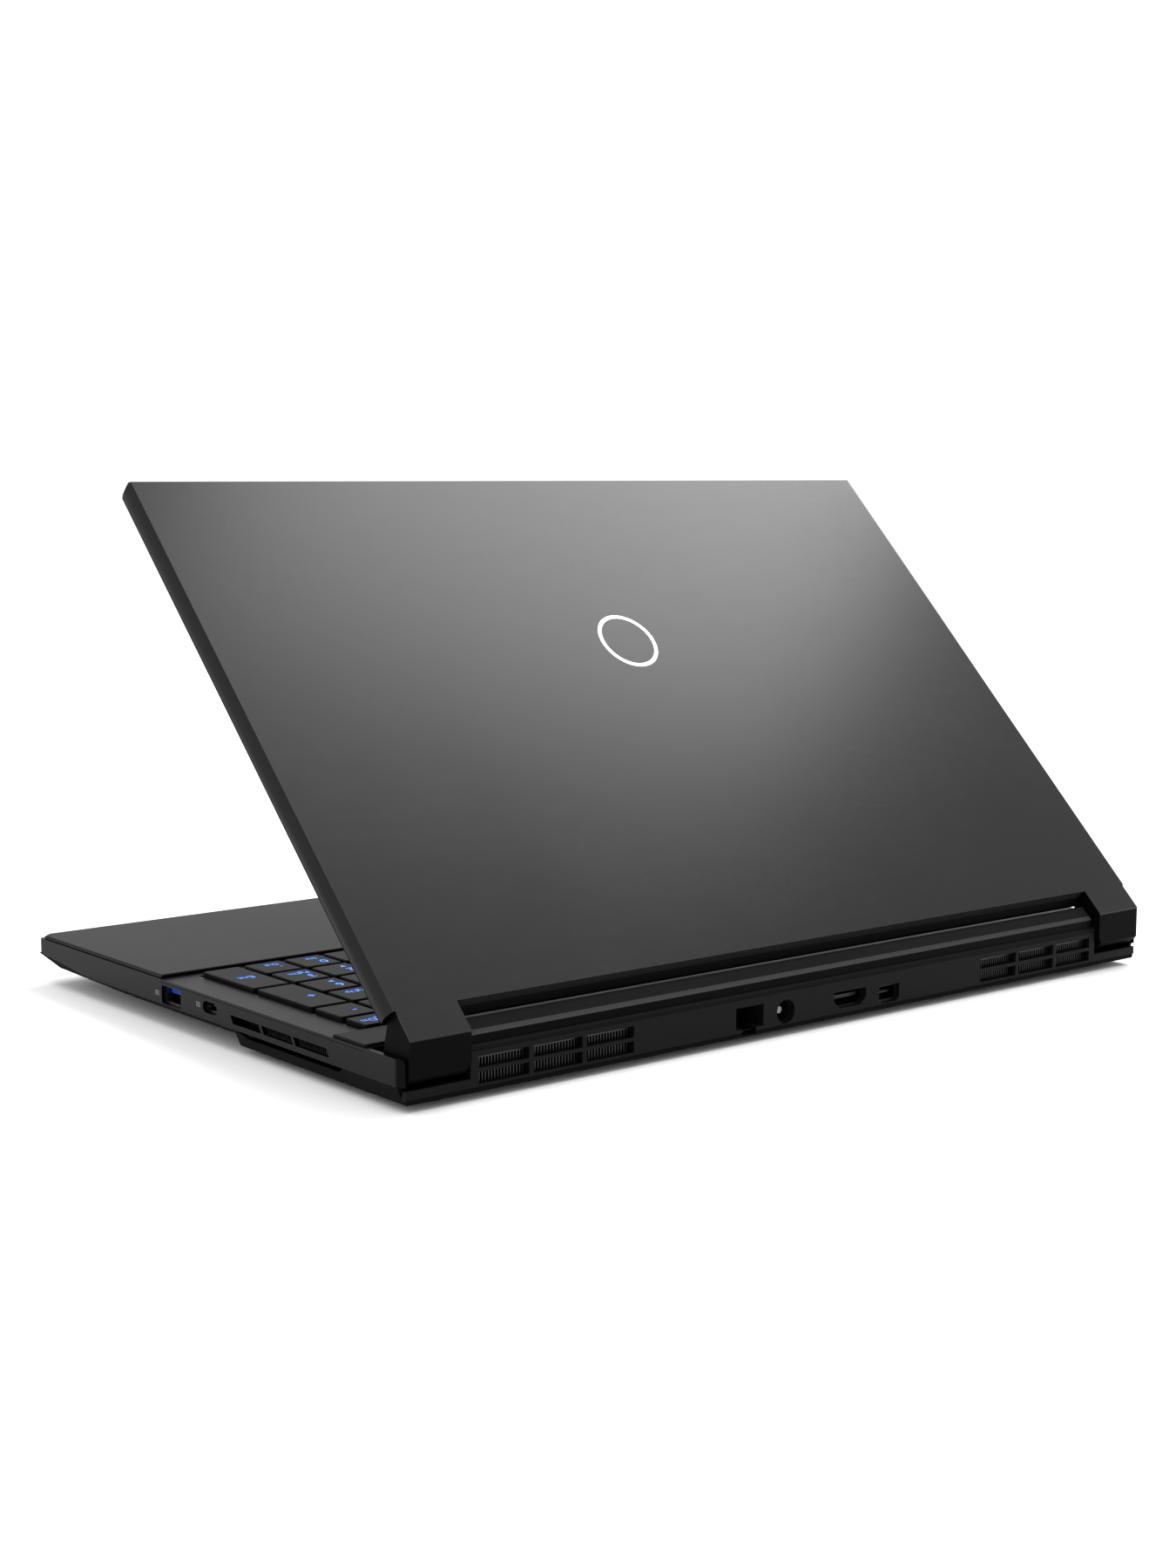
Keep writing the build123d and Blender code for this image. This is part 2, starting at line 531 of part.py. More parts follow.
def well_sheet(z0, z1):
    """A sheet that fills the keyboard's well."""
    return block(WELL[0] + 0.3, WELL[1] - 0.3, WELL[2] + 0.3, WELL[3] - 0.3, z0, z1)


def touchpad():
    return slot_plate(*TOUCH_X, *TOUCH_Y, 16.9, PALM_Z - 0.3, 2.6)


def touchpad_tray():
    """Shallow frame that holds the touchpad under the palm rest."""
    x0, x1, y0, y1, z0 = TOUCH_X[0] - 6, TOUCH_X[1] + 6, TOUCH_Y[0] - 3, TOUCH_Y[1] + 4, 15.2
    tray = block(x0, x1, y0, y1, z0, CASE_Z)
    tray -= block(TOUCH_X[0] - 0.5, TOUCH_X[1] + 0.5, TOUCH_Y[0] - 0.5, TOUCH_Y[1] + 0.5, z0 + 0.5, DECK_Z)
    return tray - block(x0 + 14, x1 - 14, y0 + 12, y1 - 14, z0 - OVER, DECK_Z)


# ---- inside the lower half ----------------------------------------------------------------------
def battery_pack():
    """Four flat cells in a frame."""
    left, width, pitch = -126.0, 62.4, 63.2
    pack = block(left - 2, left + 4 * pitch + 2, -98, -36, 9.6, 10.6)
    for i in range(4):
        x = left + i * pitch
        cell = block(x, x + width, -96, -38, 8.5, 14.2)
        pack += fillet(cell.edges().filter_by(Axis.Y), 0.8)
    return pack


def mainboard():
    """Board with a row of chokes and its card sockets."""
    z0, z1 = BOARD_Z, BOARD_TOP
    board = block(-160, 160, -26, 30, z0, z1) + block(-80, 80, 30, 104, z0, z1) + block(160, 168, 3, 12, z0, z1)
    for x, y in SCREWS:
        board -= rod_z(x, y, z0 - 2, z1 + 2, 3.2)
    for i in range(13):
        board += block(-58 + 9 * i, -51 + 9 * i, 12, 19, z1, z1 + 2.4)
    board += block(66, 138, -25, -21, z1, z1 + 4.4)
    return board + block(-152, -146, -23, -1, z1, z1 + 2) + block(-122, -116, 4, 26, z1, z1 + 2)


def processor_chips():
    chips = []
    for x in CHIP_X:
        base = block(x - 19, x + 19, 44, 78, BOARD_TOP, BOARD_TOP + 0.8)
        chips.append(base + block(x - 8, x + 8, 54, 68, BOARD_TOP + 0.8, BOARD_TOP + 1.3))
    return Compound(children=chips)


def heat_pipes():
    """Two cold plates on the chips, a bent pipe to the rear fins and a straight one between the fans."""
    z0 = BOARD_TOP + 1.3
    body = block(-50, -18, 46, 76, z0, z0 + 1) + block(18, 50, 46, 76, z0, z0 + 1)
    bent = [(-149, 106.6), (-78, 106.6), (-66, 56.5), (66, 56.5), (78, 106.6), (149, 106.6)]
    straight = [(-75, 65.5), (75, 65.5)]
    for run, width in ((bent, 4.2), (straight, 7.0)):
        wire = Polyline(*[(x, y, z0 + 1) for x, y in run])
        body += extrude(trace(wire, width), amount=2.4)
    return body


def fins(x0, x1, y0, y1, z0, z1, across):
    """A stack of thin upright plates between two tie plates; they stand one behind the other along an axis."""
    tie = FIN_T
    stack = block(x0, x1, y0, y1, z0, z0 + tie) + block(x0, x1, y0, y1, z1 - tie, z1)
    length = x1 - x0 if across == "x" else y1 - y0
    for i in range(int((length - FIN_T) / FIN_PITCH) + 1):
        a = i * FIN_PITCH
        if across == "x":
            stack += block(x0 + a, x0 + a + FIN_T, y0, y1, z0, z1)
        else:
            stack += block(x0, x1, y0 + a, y0 + a + FIN_T, z0, z1)
    return stack


def rear_fin_stacks():
    stack = fins(VENT_IN - 0.4, VENT_OUT + 0.8, 104.6, 121.4, 4.7, 13.4, "x")
    return both(stack - block(80, 160, 104, 109.4, 10.4, 13.0))


def side_fin_stacks():
    return both(fins(164.0, 175.4, SIDE_VENT[0] + 4.6, SIDE_VENT[1] + 3.9, 4.8, 13.2, "y"))


def fan_housing(side):
    """Flat box with a round chamber, an outlet at the back and a spindle on three spokes."""
    x, half, sheet = side * FAN_X, FAN_R + 1.5, 0.8
    outlet_y = POCKET_Y
    body = block(x - half, x + half, FAN_Y - half, outlet_y, FAN_Z0, FAN_Z1)
    body -= rod_z(x, FAN_Y, FAN_Z0 + sheet, FAN_Z1 - sheet, FAN_R)
    body -= block(x - half + 2, x + half - 2, FAN_Y, outlet_y + OVER, FAN_Z0 + sheet, FAN_Z1 - sheet)
    body -= rod_z(x, FAN_Y, FAN_Z1 - OVER, FAN_Z1 + OVER, 21.0)
    body -= rod_z(x, FAN_Y, FAN_Z0 - OVER, FAN_Z0 + sheet + 0.1, 22.0)
    spider = rod_z(x, FAN_Y, FAN_Z0, FAN_Z0 + sheet, 8.0)
    for i in range(3):
        spider += Pos(x, FAN_Y, FAN_Z0 + sheet / 2) * Rot(0, 0, 120 * i + 30) * Pos(15, 0, 0) * Box(17, 3, sheet)
    return body + spider + rod_z(x, FAN_Y, FAN_Z0, FAN_Z0 + 4.5, 1.2)


def fan_rotor(side):
    """Hub on the spindle, with swept blades tied by a rim."""
    x, z0, z1 = side * FAN_X, FAN_Z0 + 1.3, FAN_Z1 - 1.4
    rotor = rod_z(x, FAN_Y, z0, z1 + 0.9, HUB_R) - rod_z(x, FAN_Y, z0 - OVER, z0 + 4.0, 1.26)
    rotor += rod_z(x, FAN_Y, z0, z0 + 0.6, ROTOR_R) - rod_z(x, FAN_Y, z0 - OVER, z0 + OVER, ROTOR_R - 1.2)
    blades = []
    for i in range(BLADES):
        blade = Pos(19.6, 0, 0) * Rot(0, 0, 24) * Box(16.6, 0.6, z1 - z0)
        blades.append(Pos(x, FAN_Y, (z0 + z1) / 2) * Rot(0, 0, i * 360 / BLADES) * blade)
    return rotor + blades


def ssd_card():
    card = block(-145.8, -66, -23, -1, CARD_Z, CARD_Z + 0.8)
    for i in range(3):
        card += block(-138 + 22 * i, -120 + 22 * i, -20, -4, CARD_Z + 0.8, CARD_Z + 2)
    return card


def memory_modules():
    """Two cards, one above the other."""
    modules = []
    for z in (CARD_Z, CARD_Z + 2.2):
        module = block(67, 137, -20.8, 9, z, z + 0.9)
        for i in range(4):
            module += block(70 + 17 * i, 82 + 17 * i, -14, -4, z + 0.9, z + 1.8)
        modules.append(module)
    return Compound(children=modules)


def wireless_card():
    return block(-115.8, -88, 4, 26, CARD_Z, CARD_Z + 0.8) + block(-110, -94, 7, 23, CARD_Z + 0.8, CARD_Z + 2.2)


def speakers():
    """Two flat boxes, each with a ring groove round its cone, facing down."""
    x0, x1, z0 = 133.0, 166.0, 9.0
    middle = (x0 + x1) / 2
    box = slot_plate(x0, x1, -97, -60, z0, 15.4, 3)
    box -= rod_z(middle, -78, z0 - OVER, z0 + 0.6, 12) - rod_z(middle, -78, z0 - OVER, z0 + OVER, 7)
    return Compound(children=[box, twin(box)])


# ---- hinges -------------------------------------------------------------------------------------
def hinge_base_bracket():
    """Right-hand bracket: a barrel in the hinge bar and a foot under the deck."""
    x0, x1 = BRACKET_X
    low = CASE_Z - 0.75
    barrel = rod_x(x0, x1, HINGE_Y, HINGE_Z, BARREL_R)
    foot = block(x0, x1, 100.0, 103.4, CASE_Z - 1.0, CASE_Z - 0.05) + block(x0, x1, 100.0, HINGE_Y, low, CASE_Z - 0.05)
    neck = block(x0, x1, BAR_FRONT + 1.5, HINGE_Y, low, 18.6)
    bracket = (barrel + foot + neck) & block(x0 - 2, x1 + 2, 99, BAR_REAR - 1.4, 13.0, 21.4)
    return bracket - rod_x(x0 - 2, x1 + 2, HINGE_Y, HINGE_Z, BORE_R)


def hinge_lid_bracket():
    """Right-hand bracket inside the knuckle, shut: a barrel on the pin and an arm along the lid."""
    x0, x1 = LID_ARM_X
    r = 3.6
    barrel = rod_x(x0, x1, HINGE_Y, HINGE_Z, r)
    arm = along_x([(HINGE_Y - r, HINGE_Z), (HINGE_Y - r, 22.6), (52.0, 23.4), (52.0, 24.6), (HINGE_Y - 1.0, 24.6),
                   (HINGE_Y + 1.6, 22.2), (HINGE_Y + r, HINGE_Z)], x0, x1)
    arm -= block(x0 - 9, x1 + 9, 40, 104, 20, 23.4)
    for y in (60, 76, 92):
        arm -= rod_z((x0 + x1) / 2, y, 20, 26, 1.3)
    return barrel + arm - rod_x(x0 - 9, x1 + 9, HINGE_Y, HINGE_Z, PRESS_R)


def hinge_pins():
    return both(rod_x(BRACKET_X[0] + 1, LID_ARM_X[1] + 1, HINGE_Y, HINGE_Z, PIN_R))


# ---- lid, drawn shut ----------------------------------------------------------------------------
def knuckle_outline(grow=0.0):
    """(y, z) outline of a knuckle: flat behind, round below; grow is negative for its hollow."""
    a = math.radians(OPEN_ANGLE)
    top, r, rear = LID_TOP + grow, KNUCKLE_R + grow, KNUCKLE_REAR + grow - HINGE_Y
    crest = HINGE_Y + (rear - (top - HINGE_Z) * math.sin(a)) / math.cos(a)
    low = math.sqrt(KNUCKLE_R ** 2 - (KNUCKLE_REAR - HINGE_Y) ** 2)
    start = -math.atan2(low, rear) if grow == 0 else -math.acos(rear / r)
    end, steps = math.radians(-170), 14
    points = [(SLAB_REAR - 4, top), (crest, top)]
    for i in range(steps + 1):
        t = start + (end - start) * i / steps
        points.append(shut_point(HINGE_Y + r * math.cos(t), HINGE_Z + r * math.sin(t)))
    return points + [(SLAB_REAR - grow, LID_FACE + BEZEL_T), (SLAB_REAR - 4, LID_FACE + BEZEL_T)]


def lid_edge_cuts():
    """Long slopes on the two sides and the front edge of the lid's back."""
    far, top = HALF_W + OVER, LID_TOP
    x, z = HALF_W - LID_CHAMFER_X, top - LID_CHAMFER_Z
    side = along_y([(far, top + OVER), (x - 0.52, top + OVER), (x, top), (HALF_W, z), (far, z)], -200, 200)
    y = LID_FRONT
    front = along_x([(y - OVER, top + OVER), (y + 1.5, top + OVER), (y + 1.2, top), (y, top - 2), (y - OVER, top - 2)],
                    -200, 200)
    return both(side) + front


def lid_cover():
    bottom = LID_FACE + BEZEL_T
    body = block(-HALF_W, HALF_W, LID_FRONT, SLAB_REAR, bottom, LID_TOP)
    body = fillet(body.edges().filter_by(Axis.Z).sort_by(Axis.Y)[:2], 3.0) - lid_edge_cuts()
    wall, ceiling, back = 1.6, LID_TOP - LID_SKIN, SLAB_REAR - 1.3
    body -= block(-HALF_W + wall, HALF_W - wall, LID_FRONT + wall, back, LID_FACE, ceiling)
    knuckle = along_x(knuckle_outline(), KNUCKLE_IN, KNUCKLE_OUT) - block(150, 190, 90, back, 10, ceiling)
    x0, x1 = KNUCKLE_IN + LID_SKIN, KNUCKLE_OUT - LID_SKIN
    hollow = along_x(knuckle_outline(-LID_SKIN), x0, x1)
    hollow += block(x0, x1, SLAB_REAR - 3, SLAB_REAR + 1.4, LID_FACE + 2.4, ceiling)
    body = body + both(knuckle) - both(hollow)
    body -= both(rod_x(KNUCKLE_IN - OVER, KNUCKLE_IN + 2, HINGE_Y, HINGE_Z, BARREL_R - 0.6))
    return body - emblem_ring(LID_TOP + OVER, 0.05)


def emblem_ring(top, grow):
    """A flat ring let into the lid's back."""
    z0 = LID_TOP - 0.3
    inner = EMBLEM_R - EMBLEM_RING - grow
    return rod_z(0, EMBLEM_Y, z0, top, EMBLEM_R + grow) - rod_z(0, EMBLEM_Y, z0 - OVER, top + OVER, inner)


def knuckle_corner():
    """Slope cut from the lower inner corner of the opened right knuckle."""
    x, z = KNUCKLE_IN, HINGE_Z - math.sqrt(KNUCKLE_R ** 2 - (KNUCKLE_REAR - HINGE_Y) ** 2)
    outline = [(x - OVER, z - 9), (x + 1.3, z - 9), (x + 1.3, z), (x, z + 2.0), (x - OVER, z + 2.0)]
    return along_y(outline, HINGE_Y + 2, KNUCKLE_REAR + OVER)


def display_bezel():
    """Frame round the screen, with camera holes and a lip towards the hinge bar."""
    x, y0, y1, top = HALF_W - 0.2, LID_FRONT + 0.2, SLAB_REAR - 0.1, LID_FACE + BEZEL_T
    bezel = block(-x, x, y0, y1, LID_FACE, top)
    bezel = fillet(bezel.edges().filter_by(Axis.Z).sort_by(Axis.Y)[:2], 2.8)
    root = SLAB_REAR + 0.1
    bezel += along_x([(y1 - 0.05, LID_FACE), (LIP_REAR, LID_FACE), (LIP_REAR, top + 0.2), (root, top + 1.8),
                      (root, top), (y1 - 0.05, top)], -POCKET_IN, POCKET_IN)
    bezel -= block(*SCREEN, 10, 30)
    for x, r in ((0, 1.6), (-14, 0.6), (14, 0.6), (8, 0.8)):
        bezel -= rod_z(x, CAMERA_Y, 10, 30, r)
    return bezel


def display_panel():
    """Glass with the drive board along its lower edge."""
    x, y0, y1 = 175.0, SCREEN[2] - 2.4, SCREEN[3] + 9.0
    z0 = LID_FACE + BEZEL_T + 0.05
    glass = block(-x, x, y0, y1, z0, LID_FACE + 3.6)
    return glass + block(-120, 120, y1 - 0.5, y1 + 9.0, LID_FACE + 1.9, LID_FACE + 3.1)


def camera_module():
    """Small board with a lens barrel, its holder and a light sensor."""
    y, face = CAMERA_Y, LID_FACE
    board = block(-32, 32, y - 3.2, y + 3.2, face + 2.6, face + 3.4)
    lens = rod_z(0, y, face + 0.35, face + 2.6, 1.5) - rod_z(0, y, face, face + 0.8, 0.8)
    holder = block(-3, 3, y - 2.8, y + 2.8, face + 1.05, face + 2.6)
    return board + lens + holder + rod_z(8, y, face + 0.3, face + 2.6, 0.7)


def lid_bumpers():
    """Soft pads that keep the shut lid off the deck."""
    pads = []
    places = [(x, LID_FRONT + 3.8, 7, 1.6) for x in (-150, -60, 60, 150)]
    places += [(x, y, 1.4, 7) for x in (-176.2, 176.2) for y in (-20, 60)]
    for x, y, wide, deep in places:
        pads.append(slot_plate(x - wide, x + wide, y - deep, y + deep, PALM_Z + 0.3, LID_FACE, 1.3))
    return Compound(children=pads)


def display_cable():
    """Flat cable from the panel towards the left knuckle."""
    return block(-158.4, -110, 96.2, 99.6, LID_FACE + 3.7, LID_FACE + 4.3)


def build():
    save("top_case", top_case())
    save("palmrest_plate", palmrest_plate())
    save("status_lights", status_lights())
    save("rear_deck_cover", rear_deck_cover())
    save("power_button", power_button())
    save("rear_panel", rear_panel())
    save("bottom_cover", bottom_cover())
    save("rubber_feet", rubber_feet())
    save("bottom_screws", bottom_screws())
    save("keyboard_backplate", well_sheet(BACKPLATE_Z, BACKPLATE_Z + SHEET_T))
    save("keyboard_membrane", well_sheet(BACKPLATE_Z + SHEET_T, BACKPLATE_Z + 2 * SHEET_T))
    for name, keys in key_groups().items():
        save(name, Compound(children=keys))
    save("touchpad", touchpad())
    save("touchpad_tray", touchpad_tray())
    save("usb_port_right", large_flat_socket(SOCKET_X - 11.0, SOCKET_X, *USB_RIGHT_Y))
    save("usb_port_left", large_flat_socket(-SOCKET_X + 15.2, -SOCKET_X, *USB_LEFT_Y))
    save("small_round_port", small_round_port())
    save("lan_port", lan_port())
    save("dc_jack", dc_jack())
    save("wide_video_port", wide_video_port())
    save("small_video_port", small_video_port())
    save("audio_jacks", audio_jacks())
    save("battery_pack", battery_pack())
    save("mainboard", mainboard())
    save("processor_chips", processor_chips())
    save("heat_pipes", heat_pipes())
    save("rear_fin_stacks", rear_fin_stacks())
    save("side_fin_stacks", side_fin_stacks())
    for side, word in ((-1, "left"), (1, "right")):
        save(f"fan_housing_{word}", fan_housing(side))
        save(f"fan_rotor_{word}", fan_rotor(side))
    save("ssd_card", ssd_card())
    save("memory_modules", memory_modules())
    save("wireless_card", wireless_card())
    save("speakers", speakers())
    bracket, arm = hinge_base_bracket(), hinge_lid_bracket()
    save("hinge_base_bracket_right", bracket)
    save("hinge_base_bracket_left", twin(bracket))
    save("hinge_lid_bracket_right", opened(arm))
    save("hinge_lid_bracket_left", opened(twin(arm)))
    save("hinge_pins", opened(hinge_pins()))
    save("lid_cover", opened(lid_cover()) - both(knuckle_corner()))
    save("lid_emblem", opened(emblem_ring(LID_TOP + 0.1, 0.0)))
    save("display_bezel", opened(display_bezel()))
    save("display_panel", opened(display_panel()))
    save("camera_module", opened(camera_module()))
    save("lid_bumpers", opened(lid_bumpers()))
    save("display_cable", opened(display_cable()))


build()
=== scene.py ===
"""Looks of a 15.6 inch laptop computer: softened shells, keys with lit legends, sockets and finishes.

Everything is in metres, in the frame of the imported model: +X to the user's right, +Y to the back, +Z up.
"""

import json
import math

import bmesh
import bpy
from mathutils import Matrix, Quaternion, Vector

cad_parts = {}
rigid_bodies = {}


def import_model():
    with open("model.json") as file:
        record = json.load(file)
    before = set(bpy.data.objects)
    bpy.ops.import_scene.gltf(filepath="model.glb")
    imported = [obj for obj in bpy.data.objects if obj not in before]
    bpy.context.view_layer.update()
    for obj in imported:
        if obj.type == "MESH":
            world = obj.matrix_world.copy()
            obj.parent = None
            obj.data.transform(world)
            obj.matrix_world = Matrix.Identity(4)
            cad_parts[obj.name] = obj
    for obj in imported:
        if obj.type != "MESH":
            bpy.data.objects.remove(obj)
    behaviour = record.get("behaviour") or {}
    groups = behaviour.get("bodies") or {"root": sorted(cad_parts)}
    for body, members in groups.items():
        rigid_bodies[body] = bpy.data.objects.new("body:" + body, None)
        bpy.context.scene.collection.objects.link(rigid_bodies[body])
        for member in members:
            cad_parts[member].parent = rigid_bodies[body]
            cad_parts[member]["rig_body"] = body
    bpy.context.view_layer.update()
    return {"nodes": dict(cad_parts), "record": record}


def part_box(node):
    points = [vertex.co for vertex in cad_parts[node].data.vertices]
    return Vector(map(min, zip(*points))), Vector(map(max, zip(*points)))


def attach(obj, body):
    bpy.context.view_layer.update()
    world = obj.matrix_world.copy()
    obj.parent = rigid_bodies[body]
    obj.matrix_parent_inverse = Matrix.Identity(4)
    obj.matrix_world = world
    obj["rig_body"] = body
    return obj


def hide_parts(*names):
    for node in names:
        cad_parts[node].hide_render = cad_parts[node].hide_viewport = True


bl_info = {
    "name": "Laptop computer looks",
    "version": (1, 0, 0),
    "blender": (4, 5, 0),
    "location": "3D View > Sidebar > Laptop",
    "description": "Adds softened shells, key legends, socket details and finishes to the laptop's frame",
    "category": "Object",
}

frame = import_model()
MM = 0.001
# Half the length of the hinge bar, between the lid's two knuckles.
BAR_HALF = 152.9 * MM
# Where the side walls begin, seen from the middle.
SIDE_WALL = 179.0 * MM
# Where the number pad begins, and the top edge of its digits.
PAD_LEFT, PAD_TOP = 0.097, 0.08
# Seams and doubled points closer than this are joined.
WELD = 0.001 * MM
# A letter's type size, as a multiple of the height it is drawn at.
SIZE_PER_HEIGHT = 1.35
# Greatest angle between two faces that are shaded as one, and least angle of an edge that is rounded.
SMOOTH_ANGLE, SHARP_ANGLE = math.radians(38.0), math.radians(28.0)


# ---- sizes and colours --------------------------------------------------------------------------
class LaptopSizes(bpy.types.PropertyGroup):
    """Small sizes that the looks add to the frame."""

    lid_edge: bpy.props.FloatProperty(
        name="Lid edge", description="Rounding of the lid's edges", default=0.3 * MM,
        subtype="DISTANCE", unit="LENGTH")
    shell_edge: bpy.props.FloatProperty(
        name="Shell edge", description="Rounding of the case's edges", default=0.18 * MM,
        subtype="DISTANCE", unit="LENGTH")
    key_edge: bpy.props.FloatProperty(
        name="Key edge", description="Rounding of each key's edges", default=0.16 * MM,
        subtype="DISTANCE", unit="LENGTH")
    legend_height: bpy.props.FloatProperty(
        name="Legend height", description="Height of a letter on a key", default=4.8 * MM,
        subtype="DISTANCE", unit="LENGTH")
    legend_lift: bpy.props.FloatProperty(
        name="Legend lift", description="Height of a legend above its key", default=0.03 * MM,
        subtype="DISTANCE", unit="LENGTH")


class LaptopColours(bpy.types.PropertyGroup):
    """Main colours of the machine."""

    metal: bpy.props.FloatVectorProperty(
        name="Metal", description="Anodised lid and deck", default=(0.0235, 0.0235, 0.024),
        subtype="COLOR", size=3)
    plastic: bpy.props.FloatVectorProperty(
        name="Plastic", description="Bottom cover and rear panel", default=(0.003, 0.003, 0.0032),
        subtype="COLOR", size=3)
    key: bpy.props.FloatVectorProperty(
        name="Keys", description="Keycaps", default=(0.005, 0.005, 0.0055),
        subtype="COLOR", size=3)
    legend: bpy.props.FloatVectorProperty(
        name="Legends", description="Light through the key legends", default=(0.03, 0.22, 1.0),
        subtype="COLOR", size=3)


def sizes():
    """The sizes of the current scene."""
    return bpy.context.scene.laptop_sizes


def colours():
    """The colours of the current scene."""
    return bpy.context.scene.laptop_colours


# ---- shader recipes -----------------------------------------------------------------------------
class Value:
    """A number or colour that varies over a surface; arithmetic on it adds Math nodes."""

    def __init__(self, recipe, socket):
        self.recipe = recipe
        self.socket = socket

    def join(self, operation, first, second=0.0):
        return self.recipe.node("ShaderNodeMath", {"operation": operation}, {0: first, 1: second})

    def __add__(self, other):
        return self.join("ADD", self, other)

    def __radd__(self, other):
        return self.join("ADD", other, self)

    def __sub__(self, other):
        return self.join("SUBTRACT", self, other)

    def __rsub__(self, other):
        return self.join("SUBTRACT", other, self)

    def __mul__(self, other):
        return self.join("MULTIPLY", self, other)

    def __gt__(self, other):
        return self.join("GREATER_THAN", self, other)

    def __lt__(self, other):
        return self.join("LESS_THAN", self, other)

    def __abs__(self):
        return self.join("ABSOLUTE", self)

    def clamped(self):
        return self.recipe.node("ShaderNodeClamp", {}, {"Value": self})


class Recipe:
    """One material, built node by node around a Principled shader."""

    def __init__(self, name):
        self.material = bpy.data.materials.new(name)
        self.material.use_nodes = True
        self.tree = self.material.node_tree
        self.tree.nodes.clear()
        self.place = self.node("ShaderNodeTexCoord", out="Object")

    def node(self, kind, settings=None, inputs=None, out=0):
        """Adds a node: its settings first, then the values or links of its sockets."""
        made = self.tree.nodes.new(kind)
        for key, value in (settings or {}).items():
            if key == "stops":
                self.set_stops(made.color_ramp, value)
            else:
                setattr(made, key, value)
        for key, value in (inputs or {}).items():
            if isinstance(value, Value):
                self.tree.links.new(value.socket, made.inputs[key])
            else:
                made.inputs[key].default_value = value
        return Value(self, made.outputs[out] if made.outputs else None)

    @staticmethod
    def set_stops(ramp, stops):
        while len(ramp.elements) < len(stops):
            ramp.elements.new(1.0)
        for element, (position, colour) in zip(ramp.elements, stops):
            element.position = position
            element.color = (*colour, 1.0)

    def noise(self, scale, detail=2.0, stretch=(1.0, 1.0, 1.0)):
        """Soft noise from 0 to 1, with its features 1/scale metres apart."""
        where = self.node("ShaderNodeVectorMath", {"operation": "MULTIPLY"}, {0: self.place, 1: stretch})
        return self.node("ShaderNodeTexNoise", {}, {"Vector": where, "Scale": scale, "Detail": detail})

    def cells(self, scale, distance="EUCLIDEAN"):
        """Distance to the nearest cell's centre, with the cells 1/scale metres apart."""
        return self.node("ShaderNodeTexVoronoi", {"feature": "F1", "distance": distance},
                         {"Vector": self.place, "Scale": scale}, out="Distance")

    def along(self, axis):
        """The place along one axis of the frame, in metres."""
        return self.node("ShaderNodeSeparateXYZ", {}, {0: self.place}, out=axis)

    def blend(self, factor, first, second):
        """A colour between two colours."""
        ends = [end if isinstance(end, Value) else (*end, 1.0) for end in (first, second)]
        return self.node("ShaderNodeMix", {"data_type": "RGBA"}, {0: factor, 6: ends[0], 7: ends[1]}, out=2)

    def edges(self, radius):
        """1 along worn outer edges, 0 on flat faces."""
        rounded = self.node("ShaderNodeBevel", {"samples": 4}, {"Radius": radius})
        flat = self.node("ShaderNodeNewGeometry", out="Normal")
        facing = self.node("ShaderNodeVectorMath", {"operation": "DOT_PRODUCT"}, {0: rounded, 1: flat},
                           out="Value")
        return ((1.0 - facing) * 5.0).clamped()

    def bump(self, height, distance, strength):
        """A normal that follows a height."""
        return self.node("ShaderNodeBump", {}, {"Height": height, "Distance": distance, "Strength": strength})

    def shade(self, **inputs):
        """Finishes the material; names use _ for the spaces in a socket's name."""
        named = {key.replace("_", " "): value for key, value in inputs.items()}
        shader = self.node("ShaderNodeBsdfPrincipled", {}, named)
        self.node("ShaderNodeOutputMaterial", {}, {"Surface": shader})
        return self.material


def scaled(colour, factor):
    """A colour made lighter or darker."""
    return tuple(min(1.0, channel * factor) for channel in colour)


def hinge_facts():
    """The hinge's place in Y and Z, and the angle from rest to shut in radians."""
    joint = next(j for j in frame["record"]["behaviour"]["joints"] if j["name"] == "lid_hinge")
    return joint["pos_m"][1], joint["pos_m"][2], math.radians(joint["range_deg"][1])


def lid_place(r):
    """The height over the hinge line and the reach behind it, as if the lid were shut."""
    y0, z0, angle = hinge_facts()
    dy, dz = r.along("Y") - y0, r.along("Z") - z0
    return dy * math.sin(angle) + dz * math.cos(angle), dy * math.cos(angle) - dz * math.sin(angle)


def lid_back():
    """The height of the lid's back over the hinge line, as if the lid were shut."""
    y0, z0, angle = hinge_facts()
    return max((v.co.y - y0) * math.sin(angle) + (v.co.z - z0) * math.cos(angle)
               for v in frame["nodes"]["lid_cover"].data.vertices)


def inside(value, low, high):
    """1 between two limits, 0 outside them."""
    return (value > low) * (value < high)


def socket_marks(r):
    """1 on the small printed outlines beside the sockets of the two side walls."""
    marks = 0.0
    for node in ("usb_port_right", "small_round_port"):
        low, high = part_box(node)
        across = abs(r.along("Y") - (low.y - 3.4 * MM))
        up = abs(r.along("Z") - (low.z + high.z) / 2)
        outline = (across < 1.35 * MM) * (up < 0.8 * MM) * (1.0 - (across < 1.05 * MM) * (up < 0.5 * MM))
        marks = outline + (across < 0.5 * MM) * (up < 0.22 * MM) + marks
    return (marks * (abs(r.along("X")) > SIDE_WALL)).clamped()


